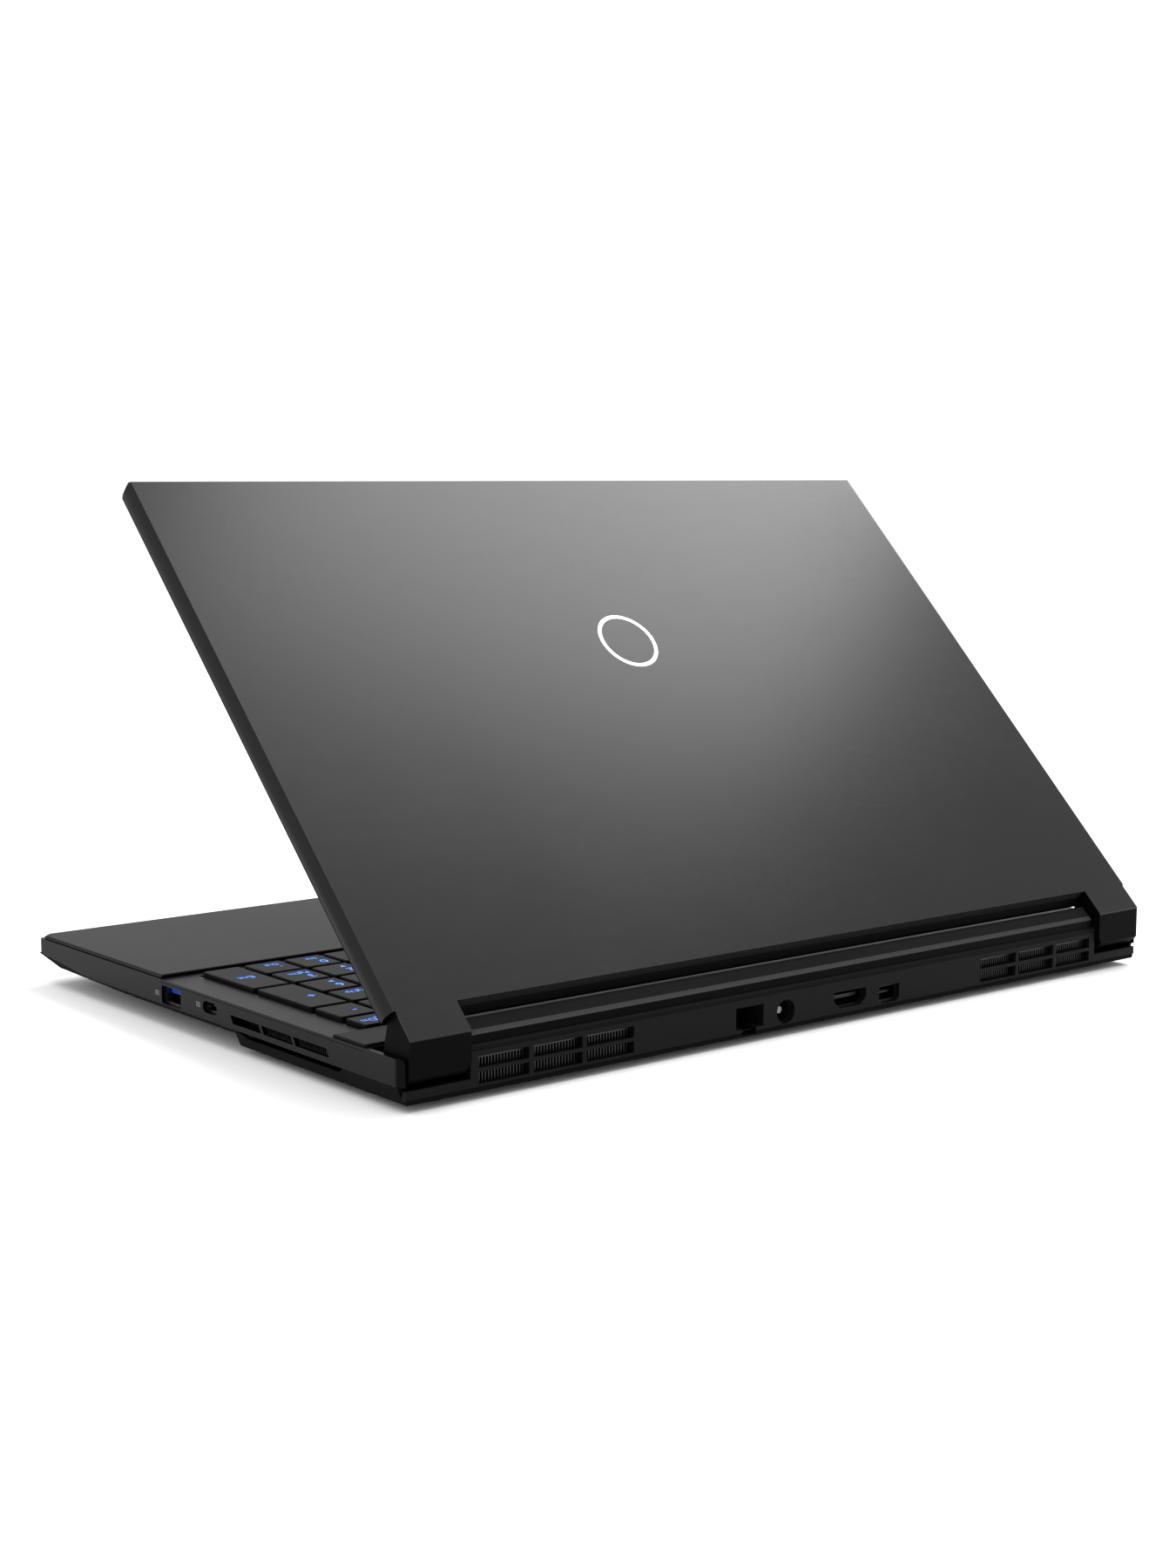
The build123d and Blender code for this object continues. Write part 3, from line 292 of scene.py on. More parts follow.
def anodised(name, colour, roughness=0.262, graze=0.6, painted_shade_zone=None, level=0.1, marks=None):
    """Bead-blasted and anodised metal: fine grain, faint clouds and slightly bright edges.

    graze is how strongly it shines at a low angle, and level its shine from above.
    """
    r = Recipe(name)
    cloud = r.noise(14.0, 4.0)
    grain = r.noise(5200.0, 2.0)
    smear = r.noise(60.0, 3.0, (1.0, 4.0, 1.0))
    tint = r.blend(cloud, scaled(colour, 0.93), scaled(colour, 1.07))
    tint = r.blend((grain - 0.5) * 0.5 + 0.1, tint, scaled(colour, 1.45))
    tint = r.blend(r.edges(0.5 * MM) * 0.3, tint, scaled(colour, 3.2))
    rough = roughness + (cloud - 0.5) * 0.05 + (smear - 0.5) * 0.03 + (grain - 0.5) * 0.06
    metallic = 0.95
    # painted shade: a zone darkened to a black non-metal where the surface lies in shade
    if painted_shade_zone:
        zone, dark = painted_shade_zone(r)
        tint = r.blend(zone, tint, dark)
        metallic = metallic - zone * metallic
        rough = rough + zone * 0.25
    if marks:
        tint = r.blend(marks(r) * 0.6, tint, (0.28, 0.28, 0.29))
    return r.shade(Base_Color=tint, Metallic=metallic, Roughness=rough, Normal=r.bump(grain, 0.012 * MM, 0.4),
                   Specular_IOR_Level=level, Specular_Tint=(graze, graze, graze, 1.0))


def knuckle_painted_shade(r):
    """Painted shade: the knuckles darkened to a black non-metal where they lie in shade, and the end face
    between them darkened a little less, so it is lighter.
    """
    height, reach = lid_place(r)
    zone = (height < lid_back() - 0.45 * MM) * (reach > -11.3 * MM)
    middle = abs(r.along("X")) < BAR_HALF
    # painted shade: a very dark colour on the knuckles, a lighter one on the end face between them
    return zone, r.blend(middle, scaled(colours().plastic, 0.4), scaled(colours().plastic, 4.5))


def rear_strip_painted_shade(r):
    """Painted shade: the case's rear-facing strip above the rear panel, darkened to a black non-metal."""
    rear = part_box("rear_panel")[1]
    strip = (r.along("Y") > rear.y - 3.2 * MM) * (r.along("Z") < rear.z + 2.3 * MM)
    # painted shade: the strip's dark colour
    return strip, scaled(colours().plastic, 1.1)


def moulded(name, colour, roughness=0.5, grain_scale=2600.0, depth=0.02 * MM, wear=0.25, level=0.06,
            zone=None):
    """Moulded plastic with a fine spark-eroded texture, dust in its clouds and rubbed edges."""
    r = Recipe(name)
    cloud = r.noise(22.0, 4.0)
    pits = r.cells(grain_scale)
    fine = r.noise(grain_scale * 1.7, 2.0)
    tint = r.blend(cloud, scaled(colour, 0.82), scaled(colour, 1.22))
    tint = r.blend(r.edges(0.4 * MM) * wear, tint, scaled(colour, 3.5))
    rough = roughness + (cloud - 0.5) * 0.12 + (fine - 0.5) * 0.10
    # zone adds painted light: a painted highlight and painted shade on the hinge bar, painted shade on the
    # bezel's lip
    if zone:
        tint, duller = zone(r, tint)
        rough = rough + duller
    height = pits * 0.6 + fine * 0.4
    return r.shade(Base_Color=tint, Roughness=rough, Specular_IOR_Level=level,
                   Normal=r.bump(height, depth, 0.6))


def bar_painted_highlight_and_shade(r, tint):
    """Painted highlight on the hinge bar's cut edge, painted shade on its lower face below it, and how much
    duller its crest is.
    """
    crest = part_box("rear_deck_cover")[1]
    z, behind = r.along("Z"), r.along("Y") > crest.y - 4.5 * MM
    edge_low = crest.z - 4.85 * MM
    edge = behind * inside(z, edge_low, crest.z - 3.45 * MM)
    # painted shade: the bar's lower face darkened
    tint = r.blend(behind * (z < edge_low), tint, scaled(colours().plastic, 0.2))
    # painted highlight: the cut edge lightened
    return r.blend(edge, tint, (0.036, 0.036, 0.037)), (z > crest.z - 0.7 * MM) * 0.5


def lip_painted_shade(r, tint):
    """Painted shade: the lip along the bezel's rear edge darkened to near black, and how much duller it is.
    """
    height, reach = lid_place(r)
    lip = (reach > -12.0 * MM) * (height < lid_back() - 3.0 * MM)
    # painted shade: the lip's near-black colour
    return r.blend(lip, tint, (0.0012, 0.0012, 0.0012)), lip * 0.2


def rubbery(name, colour):
    """Soft rubber with a dusty bloom."""
    r = Recipe(name)
    bloom = r.noise(300.0, 5.0)
    fine = r.noise(4000.0, 2.0)
    tint = r.blend(bloom, scaled(colour, 0.7), scaled(colour, 1.8))
    rough = 0.78 + (bloom - 0.5) * 0.2
    return r.shade(Base_Color=tint, Roughness=rough, Specular_IOR_Level=0.3,
                   Normal=r.bump(fine, 0.03 * MM, 0.5))


def plated(name, colour, roughness=0.28):
    """Rolled or plated sheet metal with draw lines and small stains."""
    r = Recipe(name)
    lines = r.noise(900.0, 3.0, (1.0, 60.0, 1.0))
    stain = r.noise(400.0, 4.0)
    tint = r.blend(stain, scaled(colour, 0.75), scaled(colour, 1.1))
    tint = r.blend(r.edges(0.2 * MM) * 0.5, tint, scaled(colour, 1.4))
    rough = roughness + (lines - 0.5) * 0.22 + (stain - 0.5) * 0.12
    return r.shade(Base_Color=tint, Metallic=1.0, Roughness=rough, Normal=r.bump(lines, 0.008 * MM, 0.5))


def circuit(name, mask_colour, copper=(0.05, 0.16, 0.08)):
    """Circuit board: solder mask over fine tracks, with plated pads."""
    r = Recipe(name)
    tracks = r.node("ShaderNodeTexBrick", {"offset": 0.5, "squash": 1.0}, {
        "Vector": r.place, "Scale": 420.0, "Mortar Size": 0.06, "Mortar Smooth": 0.2, "Brick Width": 1.8,
        "Row Height": 0.5}, out="Fac")
    zones = r.cells(85.0, "CHEBYCHEV")
    pads = r.cells(520.0, "CHEBYCHEV")
    dots = (pads < 0.16) * (zones > 0.42)
    tint = r.blend(tracks * 0.6, mask_colour, copper)
    tint = r.blend(dots, tint, (0.75, 0.55, 0.22))
    height = tracks * 0.5 + dots
    return r.shade(Base_Color=tint, Metallic=dots, Roughness=0.32 + dots * 0.1,
                   Normal=r.bump(height, 0.03 * MM, 0.6), Coat_Weight=0.4)


def screen_film(name):
    """Anti-glare film over a dark display."""
    r = Recipe(name)
    sparkle = r.noise(9000.0, 1.0)
    cloud = r.noise(6.0, 3.0)
    tint = r.blend(cloud, (0.004, 0.004, 0.006), (0.009, 0.010, 0.013))
    return r.shade(Base_Color=tint, Roughness=0.22 + (sparkle - 0.5) * 0.16, Specular_IOR_Level=0.5,
                   Normal=r.bump(sparkle, 0.004 * MM, 0.3))


def glow(name, colour, strength):
    """A lit legend or lamp, a little uneven as light through paint is."""
    r = Recipe(name)
    uneven = r.noise(700.0, 2.0)
    light = r.blend(uneven, scaled(colour, 0.55), colour)
    return r.shade(Base_Color=(*scaled(colour, 0.2), 1.0), Roughness=0.5, Emission_Color=light,
                   Emission_Strength=strength)


# ---- mesh tools ---------------------------------------------------------------------------------
def piece(name, mesh, material, body, replaced=None):
    """Links a finished mesh as a piece that rides on a body."""
    made = bpy.data.objects.new(name, mesh)
    bpy.context.scene.collection.objects.link(made)
    mesh.materials.clear()
    mesh.materials.append(material)
    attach(made, body)
    if replaced:
        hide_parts(replaced)


def node_body(node):
    """The body that a node belongs to."""
    return frame["nodes"][node]["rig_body"]


def welded(node):
    """The node's mesh with its seams welded and its flat faces joined."""
    work = bmesh.new()
    work.from_mesh(frame["nodes"][node].data)
    bmesh.ops.remove_doubles(work, verts=work.verts, dist=WELD)
    bmesh.ops.dissolve_limit(work, angle_limit=math.radians(0.5), verts=work.verts, edges=work.edges)
    return work


def evaluated_mesh(holder):
    """The finished mesh of a passing object, which is then removed."""
    bpy.context.scene.collection.objects.link(holder)
    done = bpy.data.meshes.new_from_object(holder.evaluated_get(bpy.context.evaluated_depsgraph_get()))
    bpy.data.objects.remove(holder)
    return done


def softened(node, width, material):
    """A copy of a node with its sharp edges rounded, in place of the node."""
    work = welded(node)
    sharp = [edge for edge in work.edges if len(edge.link_faces) == 2
             and edge.calc_face_angle(0.0) > SHARP_ANGLE and edge.calc_length() > 2.2 * width]
    bmesh.ops.bevel(work, geom=sharp, offset=width, segments=2, profile=0.5, affect="EDGES",
                    clamp_overlap=True)
    for face in work.faces:
        face.smooth = True
    for edge in work.edges:
        edge.smooth = len(edge.link_faces) != 2 or edge.calc_face_angle(0.0) < SMOOTH_ANGLE
    holder = bpy.data.objects.new("holder", mesh_of(work, node + "_soft"))
    modifier = holder.modifiers.new("normals", "WEIGHTED_NORMAL")
    modifier.keep_sharp = True
    piece(node + "_soft", evaluated_mesh(holder), material, node_body(node), node)


def finish_node(node, material):
    """Gives a node its finish."""
    mesh = frame["nodes"][node].data
    mesh.materials.clear()
    mesh.materials.append(material)


def islands(node):
    """The boxes of a node's separate solids, as pairs of corners, from front to back and left to right."""
    work = bmesh.new()
    work.from_mesh(frame["nodes"][node].data)
    bmesh.ops.remove_doubles(work, verts=work.verts, dist=WELD)
    found, seen = [], set()
    for start in work.verts:
        if start in seen:
            continue
        group, queue = [], [start]
        seen.add(start)
        while queue:
            vert = queue.pop()
            group.append(vert.co.copy())
            for edge in vert.link_edges:
                other = edge.other_vert(vert)
                if other not in seen:
                    seen.add(other)
                    queue.append(other)
        low = Vector(min(co[i] for co in group) for i in range(3))
        high = Vector(max(co[i] for co in group) for i in range(3))
        found.append((low, high))
    work.free()
    return sorted(found, key=lambda pair: (round(pair[0].y, 3), pair[0].x))


def add_box(work, low, high, bevel):
    """Adds a box between two corners, with its edges rounded."""
    centre, size = (Vector(low) + Vector(high)) / 2, Vector(high) - Vector(low)
    place = Matrix.Translation(centre) @ Matrix.Diagonal((*size, 1.0))
    made = bmesh.ops.create_cube(work, size=1.0, matrix=place)
    edges = list({edge for vert in made["verts"] for edge in vert.link_edges})
    bmesh.ops.bevel(work, geom=edges, offset=bevel, segments=2, profile=0.5, affect="EDGES")


def mesh_of(work, name):
    """Turns a working mesh into a stored one."""
    mesh = bpy.data.meshes.new(name)
    work.to_mesh(mesh)
    work.free()
    return mesh


def text_mesh(words, height):
    """Flat letters of a given height, centred on the origin."""
    curve = bpy.data.curves.new("legend", "FONT")
    curve.body = words
    curve.align_x = "CENTER"
    curve.align_y = "CENTER"
    curve.size = height * SIZE_PER_HEIGHT
    curve.resolution_u = 2
    curve.extrude = 0.004 * MM
    mesh = evaluated_mesh(bpy.data.objects.new("legend", curve))
    bpy.data.curves.remove(curve)
    return mesh


def add_text(work, words, height, centre):
    """Adds letters flat on a level surface, read from the front."""
    mesh = text_mesh(words, height)
    mesh.transform(Matrix.Translation(centre))
    work.from_mesh(mesh)
    bpy.data.meshes.remove(mesh)


def add_arrow(work, turn, size, centre):
    """Adds a flat arrow head, turned by a number of quarter turns from pointing right."""
    points = [(size, 0.0), (-size * 0.6, size * 0.8), (-size * 0.6, -size * 0.8)]
    spin = Matrix.Rotation(turn * math.pi / 2, 4, "Z")
    verts = [work.verts.new(Vector(centre) + spin @ Vector((x, y, 0.0))) for x, y in points]
    work.faces.new(verts)


# ---- pieces -------------------------------------------------------------------------------------
# What each node's keys say, in the order that islands() gives: from front to back and left to right.
KEY_WORDS = {
    "keys_bottom_row": ["Ctrl", "Fn", "", "Alt", "Alt", "", "Ctrl", "0", "."],
    "space_bar": [""],
    "arrow_keys": ["left", "down", "up", "right"],
    "left_shift_key": ["Shift"],
    "keys_lower_row": ["Z", "X", "C", "V", "B", "N", "M", ",", ".", "/", "Shift", "1", "2", "3"],
    "keys_home_row": ["Caps", "A", "S", "D", "F", "G", "H", "J", "K", "L", ";", "'", "4", "5", "6"],
    "enter_key": ["Enter"],
    "keys_upper_row": ["Tab", "Q", "W", "E", "R", "T", "Y", "U", "I", "O", "P", "[", "]", "\\", "7", "8",
                       "9"],
    "keys_number_row": ["`", "1", "2", "3", "4", "5", "6", "7", "8", "9", "0", "-", "=", "Num", "/", "*",
                        "-"],
    "backspace_key": ["Bksp"],
    "keys_function_row": ["Esc", "F1", "F2", "F3", "F4", "F5", "F6", "F7", "F8", "F9", "F10", "F11", "F12",
                          "Prt", "Ins", "Del", "Home", "End", "PgUp", "PgDn"],
    "numpad_enter_key": ["Ent"],
    "numpad_plus_key": ["+"],
}
# Quarter turns of each arrow, from pointing right.
ARROW_TURNS = {"left": 2, "down": 3, "right": 0, "up": 1}
# The second line on the number pad's keys.
PAD_WORDS = {"7": "Home", "8": "up", "9": "PgUp", "4": "left", "6": "right", "1": "End", "2": "down",
             "3": "PgDn", "0": "Ins", ".": "Del"}
# The sign above each digit or mark of the number row.
UPPER_SIGNS = {"1": "!", "2": "@", "3": "#", "4": "$", "5": "%", "6": "^", "7": "&", "8": "*", "9": "(",
               "0": ")", "-": "_", "=": "+", "`": "~"}


class LAPTOP_OT_shells(bpy.types.Operator):
    """Softens the edges of the lower half's shells and gives them their finish"""

    bl_idname = "laptop.shells"
    bl_label = "Lower half's shells"

    def execute(self, context):
        # The case's metal carries painted shade on its rear strip.
        metal = anodised("case_metal", colours().metal, 0.30, painted_shade_zone=rear_strip_painted_shade, level=0.05,
                         marks=socket_marks)
        deck = anodised("deck_metal", colours().metal, 0.36)
        plastic = moulded("cover_plastic", scaled(colours().plastic, 0.7), 0.6, wear=0.15, level=0.03)
        rear = moulded("rear_plastic", scaled(colours().plastic, 1.3), 0.46, grain_scale=3200.0)
        softened("top_case", sizes().shell_edge, metal)
        softened("palmrest_plate", sizes().shell_edge * 0.6, deck)
        # The bar's plastic carries a painted highlight on its cut edge and painted shade on its lower face.
        bar = moulded("bar_plastic", scaled(colours().plastic, 2.6), 0.42, wear=0.05, level=0.03,
                      zone=bar_painted_highlight_and_shade)
        softened("rear_deck_cover", sizes().shell_edge * 0.3, bar)
        softened("rear_panel", sizes().shell_edge * 0.8, rear)
        softened("bottom_cover", sizes().shell_edge, plastic)
        pad = moulded("pad_glass", (0.006, 0.006, 0.0065), 0.34, 5200.0, 0.006 * MM)
        softened("touchpad", sizes().shell_edge, pad)
        softened("power_button", sizes().shell_edge * 0.7, deck)
        return {"FINISHED"}


class LAPTOP_OT_lid(bpy.types.Operator):
    """Softens the lid and its bezel and gives the lid's pieces their finish"""

    bl_idname = "laptop.lid"
    bl_label = "Lid and display"

    def execute(self, context):
        # The lid's metal carries painted shade on its knuckles and end face.
        metal = anodised("lid_metal", colours().metal, graze=1.0, painted_shade_zone=knuckle_painted_shade, level=0.03)
        softened("lid_cover", sizes().lid_edge, metal)
        # The bezel's plastic carries painted shade on its rear lip.
        bezel = moulded("bezel_plastic", (0.008, 0.008, 0.0085), 0.42, 3600.0, level=0.04, zone=lip_painted_shade)
        softened("display_bezel", sizes().shell_edge * 0.5, bezel)
        softened("lid_emblem", 0.08 * MM, plated("emblem_metal", (0.55, 0.55, 0.57), 0.2))
        finish_node("display_panel", screen_film("display_film"))
        lens = moulded("lens_black", (0.006, 0.006, 0.008), 0.12, 5000.0, 0.001 * MM)
        finish_node("camera_module", lens)
        return {"FINISHED"}


class LAPTOP_OT_keys(bpy.types.Operator):
    """Rounds every key and gives it a matt finish, over a softly lit membrane"""

    bl_idname = "laptop.keys"
    bl_label = "Keys"

    def execute(self, context):
        cap = moulded("key_plastic", colours().key, 0.48, grain_scale=4200.0, depth=0.012 * MM)
        for node in KEY_WORDS:
            softened(node, sizes().key_edge, cap)
        finish_node("keyboard_membrane", glow("backlight_sheet", scaled(colours().legend, 0.12), 0.25))
        finish_node("keyboard_backplate", plated("key_plate", (0.35, 0.35, 0.36)))
        return {"FINISHED"}


class LAPTOP_OT_legends(bpy.types.Operator):
    """Adds the lit letters, digits and arrows on the keys"""

    bl_idname = "laptop.legends"
    bl_label = "Key legends"

    def execute(self, context):
        light = glow("legend_light", colours().legend, 2.6)
        for node, words in KEY_WORDS.items():
            boxes = islands(node)
            if len(boxes) != len(words):
                raise RuntimeError(f"{node} has {len(boxes)} keys and {len(words)} legends")
            work = bmesh.new()
            for (low, high), word in zip(boxes, words):
                self.add_legend(work, low, high, word)
            if not work.verts:
                work.free()
                continue
            name = node + "_legends"
            piece(name, mesh_of(work, name), light, node_body(node))
        self.add_power_mark()
        return {"FINISHED"}

    @staticmethod
    def add_power_mark():
        """Adds a lit open ring with a short bar on the power button."""
        node = "power_button"
        low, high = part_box(node)
        top = high.z + sizes().legend_lift / 3
        centre = Vector(((low.x + high.x) / 2, (low.y + high.y) / 2, top))
        work = bmesh.new()
        spokes = [Vector((math.cos(turn), math.sin(turn), 0.0))
                  for turn in (math.radians(120 + 15 * i) for i in range(21))]
        inner, outer = ([work.verts.new(centre + spoke * radius * MM) for spoke in spokes]
                        for radius in (1.15, 1.45))
        for i in range(len(spokes) - 1):
            work.faces.new((inner[i], outer[i], outer[i + 1], inner[i + 1]))
        bar = [work.verts.new(centre + Vector((x * MM, y * MM, 0.0)))
               for x, y in ((-0.16, 0.3), (0.16, 0.3), (0.16, 1.7), (-0.16, 1.7))]
        work.faces.new(bar)
        light = glow("power_mark_light", (0.8, 0.9, 1.0), 1.2)
        piece("power_mark", mesh_of(work, "power_mark"), light, node_body(node))

    @staticmethod
    def add_legend(work, low, high, word):
        """Adds one key's legend: one sign or word, or two lines."""
        height = sizes().legend_height
        top = high.z + sizes().legend_lift
        centre = Vector(((low.x + high.x) / 2, (low.y + high.y) / 2, top))
        on_pad = high.x > PAD_LEFT
        if word in ARROW_TURNS:
            add_arrow(work, ARROW_TURNS[word], height * 0.4, centre)
        elif on_pad and word in PAD_WORDS and high.y < PAD_TOP:
            add_text(work, word, height, centre + Vector((-3.0 * MM, 2.6 * MM, 0.0)))
            second = PAD_WORDS[word]
            if second in ARROW_TURNS:
                below = centre + Vector((-3.0 * MM, -3.2 * MM, 0.0))
                add_arrow(work, ARROW_TURNS[second], height * 0.3, below)
            else:
                add_text(work, second, height * 0.6, centre + Vector((-1.2 * MM, -3.2 * MM, 0.0)))
        elif len(word) > 1:
            add_text(work, word, height * 0.75, centre + Vector((0.0, 0.6 * MM, 0.0)))
        elif word in UPPER_SIGNS and high.x < PAD_LEFT:
            add_text(work, word, height * 0.8, centre - Vector((1.6 * MM, 2.9 * MM, 0.0)))
            add_text(work, UPPER_SIGNS[word], height * 0.8, centre + Vector((-1.6 * MM, 3.2 * MM, 0.0)))
        elif word:
            add_text(work, word, height, centre + Vector((-2.4 * MM, 2.0 * MM, 0.0)))


class LAPTOP_OT_sockets(bpy.types.Operator):
    """Finishes the sockets and adds their tongues and contacts"""

    bl_idname = "laptop.sockets"
    bl_label = "Sockets"

    def execute(self, context):
        shell = plated("socket_shell", (0.20, 0.20, 0.21))
        for node in ("usb_port_right", "usb_port_left", "small_round_port"):
            finish_node(node, shell)
        dark_shell = plated("dark_shell", (0.035, 0.035, 0.036), 0.42)
        for node in ("wide_video_port", "small_video_port"):
            finish_node(node, dark_shell)
        for node in ("lan_port", "dc_jack", "audio_jacks"):
            finish_node(node, self.socket_plastic(node))
        blue = moulded("tongue_blue", (0.012, 0.06, 0.42), 0.4, 3000.0, 0.01 * MM)
        gold = plated("contact_gold", (0.85, 0.62, 0.25), 0.22)
        for node, side in (("usb_port_right", 1), ("usb_port_left", -1)):
            self.add_tongue(node, side, blue, gold)
        return {"FINISHED"}

    @staticmethod
    def socket_plastic(node):
        """Black plastic with bare metal contacts: gold ones, or a steel pin in the power inlet."""
        low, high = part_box(node)
        r = Recipe(node + "_plastic")
        fine = r.noise(4000.0, 2.0)
        pin = (0.8, 0.58, 0.26)
        middle = (low.x + high.x) / 2
        if node == "lan_port":
            bare = (r.along("Z") > high.z - 2.1 * MM) * (abs(r.along("X") - middle) < 4.9 * MM)
            bare = bare * inside(r.along("Y"), low.y + 3.2 * MM, low.y + 9.2 * MM)
        elif node == "dc_jack":
            pin_z = low.z + 4.5 * MM
            bare = (abs(r.along("X") - middle) < 1.4 * MM) * (abs(r.along("Z") - pin_z) < 1.4 * MM)
            pin = (0.22, 0.22, 0.23)
        else:
            hole_z = 12.6 * MM
            bare = (abs(r.along("Z") - hole_z) < 1.85 * MM) * (abs(r.along("X")) < SIDE_WALL - 3.0 * MM) * 0.8
        tint = r.blend(bare, r.blend(fine, (0.0015, 0.0015, 0.0016), (0.005, 0.005, 0.0055)), pin)
        return r.shade(Base_Color=tint, Metallic=bare, Roughness=0.5 - bare * 0.2 + (fine - 0.5) * 0.1,
                       Specular_IOR_Level=0.1, Normal=r.bump(fine, 0.01 * MM, 0.4))

    @staticmethod
    def add_tongue(node, side, blue, gold):
        """Adds the coloured tongue of a large flat socket, a thin skin over its own, with four contacts."""
        low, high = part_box(node)
        skin = 0.03 * MM
        inner = min(abs(low.x), abs(high.x)) + 1.3 * MM
        outer = max(abs(low.x), abs(high.x)) - 1.5 * MM
        ends = sorted((side * inner, side * outer))
        y0, y1 = low.y + 1.4 * MM - skin, high.y - 1.4 * MM + skin
        z0, z1 = low.z + 3.7 * MM - skin, low.z + 5.6 * MM + skin
        name = node + "_tongue"
        work = bmesh.new()
        add_box(work, (ends[0], y0, z0), (ends[1], y1, z1), 0.12 * MM)
        piece(name, mesh_of(work, name), blue, "base")
        name = node + "_contacts"
        work = bmesh.new()
        contacts, half, depth = 4, 0.5 * MM, 0.12 * MM
        pitch = (y1 - y0) / contacts
        for i in range(contacts):
            y = y0 + pitch * (i + 0.5)
            low_corner = (ends[0], y - half, z0 - depth)
            add_box(work, low_corner, (ends[1] - 0.4 * MM * side, y + half, z0), 0.04 * MM)
        piece(name, mesh_of(work, name), gold, "base")


class LAPTOP_OT_cooling(bpy.types.Operator):
    """Finishes the fans, fin stacks and heat pipes"""

    bl_idname = "laptop.cooling"
    bl_label = "Cooling"

    def execute(self, context):
        fins = plated("fin_metal", (0.055, 0.055, 0.057), 0.45)
        finish_node("rear_fin_stacks", fins)
        finish_node("side_fin_stacks", fins)
        finish_node("heat_pipes", plated("pipe_copper", (0.80, 0.36, 0.22), 0.3))
        housing = moulded("fan_plastic", (0.015, 0.015, 0.016), 0.5)
        blades = moulded("blade_plastic", (0.022, 0.022, 0.024), 0.36, 2000.0, 0.01 * MM)
        for side in ("left", "right"):
            finish_node("fan_housing_" + side, housing)
            finish_node("fan_rotor_" + side, blades)
        return {"FINISHED"}


class LAPTOP_OT_boards(bpy.types.Operator):
    """Finishes the boards, cards, battery and speakers"""

    bl_idname = "laptop.boards"
    bl_label = "Boards and battery"

    def execute(self, context):
        board = circuit("board_mask", (0.006, 0.022, 0.014))
        card = circuit("card_mask", (0.006, 0.010, 0.030), (0.04, 0.07, 0.16))
        finish_node("mainboard", board)
        for node in ("ssd_card", "memory_modules", "wireless_card"):
            finish_node(node, card)
        finish_node("processor_chips", plated("die_silicon", (0.16, 0.17, 0.20), 0.12))
        finish_node("battery_pack", moulded("battery_wrap", (0.02, 0.02, 0.022), 0.4, 900.0, 0.04 * MM))
        finish_node("speakers", moulded("speaker_plastic", (0.018, 0.018, 0.019), 0.55))
        finish_node("display_cable", moulded("cable_tape", (0.02, 0.02, 0.02), 0.5, 1500.0))
        return {"FINISHED"}


class LAPTOP_OT_small_parts(bpy.types.Operator):
    """Finishes the feet, bumpers, screws, brackets, pins and lamps"""

    bl_idname = "laptop.small_parts"
    bl_label = "Small parts"

    def execute(self, context):
        rubber = rubbery("foot_rubber", (0.012, 0.012, 0.012))
        finish_node("rubber_feet", rubber)
        finish_node("lid_bumpers", rubber)
        finish_node("bottom_screws", plated("black_steel", (0.10, 0.10, 0.11), 0.35))
        finish_node("touchpad_tray", plated("tray_steel", (0.30, 0.30, 0.31)))
        steel = plated("hinge_steel", (0.48, 0.48, 0.49), 0.32)
        for node in ("hinge_base_bracket_left", "hinge_base_bracket_right", "hinge_lid_bracket_left",
                     "hinge_lid_bracket_right", "hinge_pins"):
            finish_node(node, steel)
        finish_node("status_lights", glow("lamp_light", (0.6, 0.75, 1.0), 0.8))
        return {"FINISHED"}


# ---- stage --------------------------------------------------------------------------------------
CAMERA_PLACE = (0.5743, 0.7011, 0.1961)
CAMERA_AZIMUTH, CAMERA_ELEVATION = 140.95, 8.25
CAMERA_LENS, SENSOR_WIDTH = 53.36, 36.0
CAMERA_SHIFT = (0.0005, 0.0175)
SURROUNDINGS = 1.05
FLOOR_HALF = 30.0
# Each light: its name, place, what it faces, size, turn about its own axis in degrees, and power in watts.
LIGHTS = [
    ("softbox", (-1.012, -0.388, 1.27), (0.0, 0.03, 0.10), (1.33, 0.74), -34.0, 25.0),
    ("overhead", (0.45, 0.55, 1.55), (0.35, 0.30, 0.0), (0.9, 0.9), 0.0, 7.0),
]


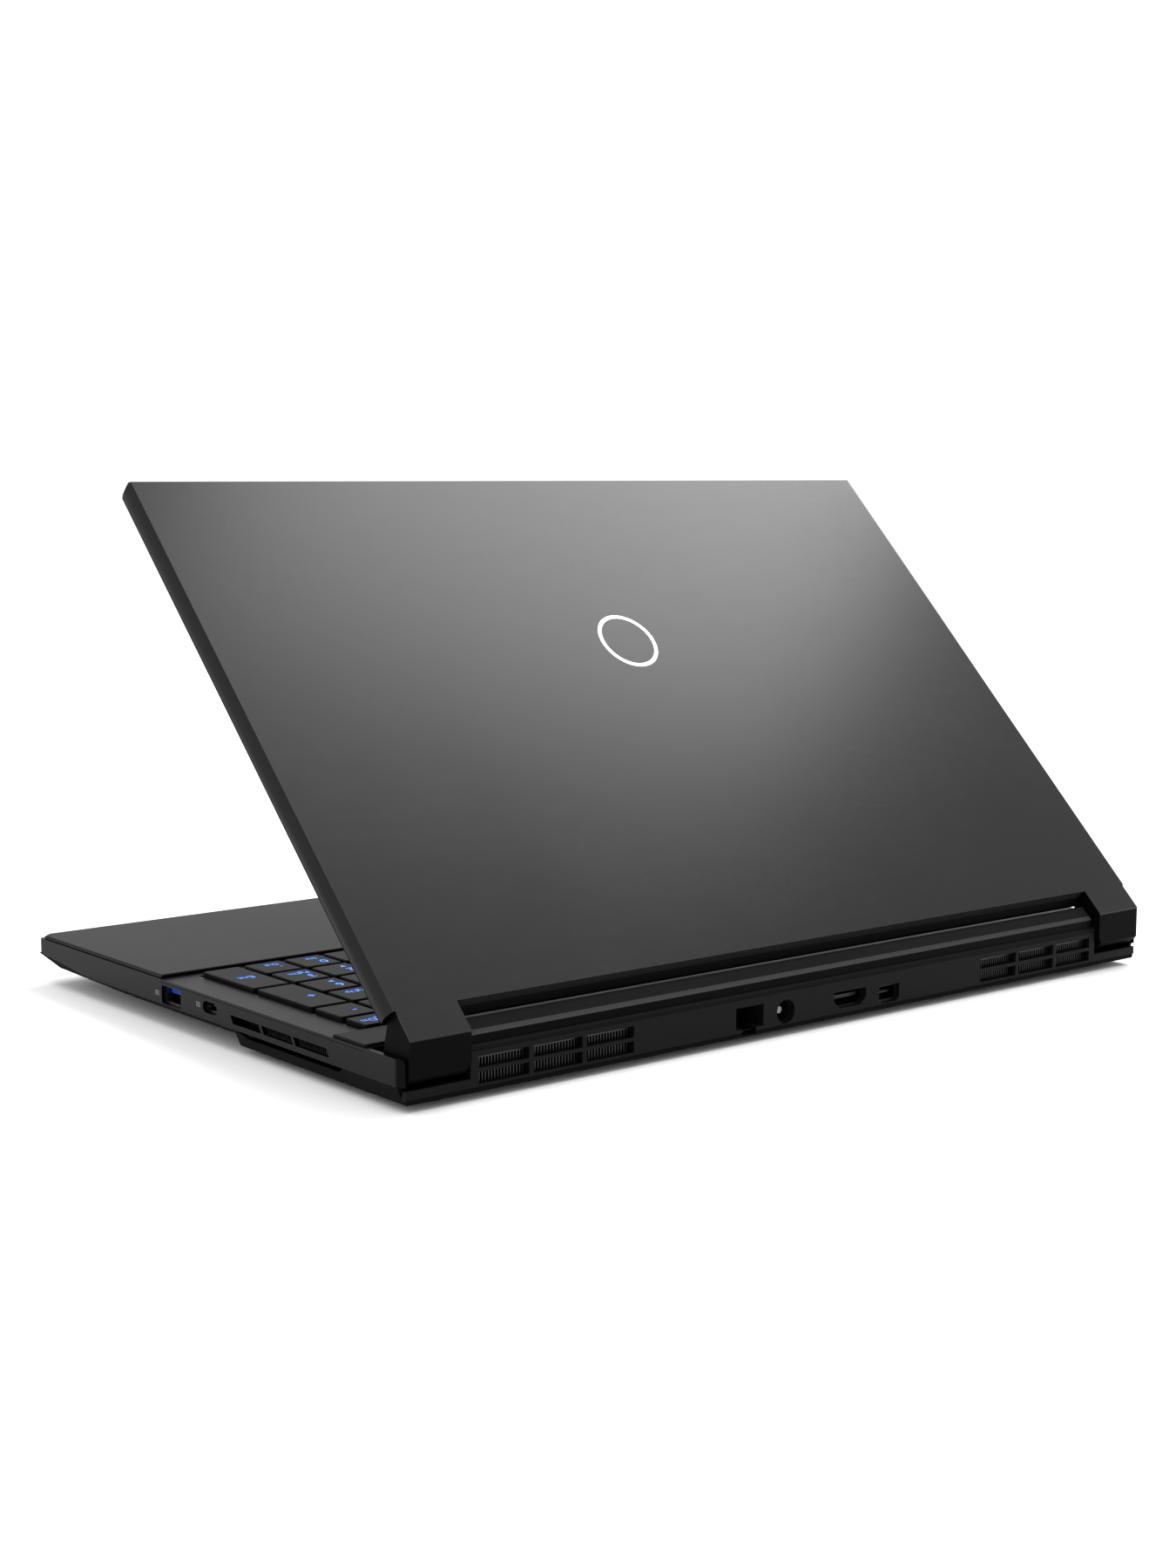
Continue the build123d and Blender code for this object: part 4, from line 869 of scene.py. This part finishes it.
class LAPTOP_OT_stage(bpy.types.Operator):
    """Adds the floor, the soft lights, the pale surroundings and the camera"""

    bl_idname = "laptop.stage"
    bl_label = "Stage"

    def execute(self, context):
        self.add_floor()
        self.add_surroundings(context)
        for light in LIGHTS:
            self.add_light(*light)
        self.add_camera(context)
        context.scene.view_settings.view_transform = "Standard"
        return {"FINISHED"}

    @staticmethod
    def add_floor():
        """Adds a wide sheet of white paper under the machine."""
        work = bmesh.new()
        bmesh.ops.create_grid(work, x_segments=8, y_segments=8, size=FLOOR_HALF)
        floor = bpy.data.objects.new("floor", mesh_of(work, "floor"))
        bpy.context.scene.collection.objects.link(floor)
        r = Recipe("floor_paper")
        fibre = r.noise(900.0, 3.0)
        tint = r.blend(fibre, (0.955, 0.955, 0.955), (0.975, 0.975, 0.975))
        floor.data.materials.append(r.shade(Base_Color=tint, Roughness=0.8, Specular_IOR_Level=0.2))

    @staticmethod
    def add_surroundings(context):
        """Plain pale surroundings, the same all round."""
        world = bpy.data.worlds.new("studio")
        context.scene.world = world
        world.use_nodes = True
        sky = world.node_tree.nodes["Background"]
        sky.inputs["Color"].default_value = (1.0, 1.0, 1.0, 1.0)
        sky.inputs["Strength"].default_value = SURROUNDINGS

    @staticmethod
    def add_light(name, place, target, size, spin, power):
        """Adds one rectangular light that faces a target."""
        data = bpy.data.lights.new(name, "AREA")
        data.shape = "RECTANGLE"
        data.size, data.size_y = size
        data.energy = power
        lamp = bpy.data.objects.new(name, data)
        bpy.context.scene.collection.objects.link(lamp)
        lamp.location = place
        lamp.rotation_mode = "QUATERNION"
        aim = (Vector(target) - Vector(place)).to_track_quat("-Z", "Y")
        lamp.rotation_quaternion = aim @ Quaternion((0.0, 0.0, 1.0), math.radians(spin))

    @staticmethod
    def add_camera(context):
        """Adds the camera, placed and turned by its azimuth and elevation."""
        data = bpy.data.cameras.new("camera")
        data.lens = CAMERA_LENS
        data.sensor_width = SENSOR_WIDTH
        data.shift_x, data.shift_y = CAMERA_SHIFT
        camera = bpy.data.objects.new("camera", data)
        context.scene.collection.objects.link(camera)
        turn, rise = math.radians(CAMERA_AZIMUTH), math.radians(CAMERA_ELEVATION)
        back = Vector((math.sin(turn) * math.cos(rise), -math.cos(turn) * math.cos(rise), math.sin(rise)))
        camera.location = CAMERA_PLACE
        camera.rotation_mode = "QUATERNION"
        camera.rotation_quaternion = (-back).to_track_quat("-Z", "Y")
        context.scene.camera = camera


class LAPTOP_PT_panel(bpy.types.Panel):
    """Lists the sizes, the colours and the steps that build the looks"""

    bl_idname = "LAPTOP_PT_panel"
    bl_label = "Laptop computer"
    bl_space_type = "VIEW_3D"
    bl_region_type = "UI"
    bl_category = "Laptop"

    def draw(self, context):
        for group in (context.scene.laptop_sizes, context.scene.laptop_colours):
            for key in group.__annotations__:
                self.layout.prop(group, key)
        for step in STEPS:
            self.layout.operator(step.bl_idname)


STEPS = (LAPTOP_OT_stage, LAPTOP_OT_shells, LAPTOP_OT_lid, LAPTOP_OT_keys, LAPTOP_OT_legends,
         LAPTOP_OT_sockets, LAPTOP_OT_cooling, LAPTOP_OT_boards, LAPTOP_OT_small_parts)
CLASSES = (LaptopSizes, LaptopColours, *STEPS, LAPTOP_PT_panel)


def register():
    for kind in CLASSES:
        bpy.utils.register_class(kind)
    bpy.types.Scene.laptop_sizes = bpy.props.PointerProperty(type=LaptopSizes)
    bpy.types.Scene.laptop_colours = bpy.props.PointerProperty(type=LaptopColours)


def unregister():
    del bpy.types.Scene.laptop_colours
    del bpy.types.Scene.laptop_sizes
    for kind in reversed(CLASSES):
        bpy.utils.unregister_class(kind)


def main():
    register()
    bpy.ops.laptop.stage()
    bpy.ops.laptop.shells()
    bpy.ops.laptop.lid()
    bpy.ops.laptop.keys()
    bpy.ops.laptop.legends()
    bpy.ops.laptop.sockets()
    bpy.ops.laptop.cooling()
    bpy.ops.laptop.boards()
    bpy.ops.laptop.small_parts()


if __name__ == "__main__":
    main()
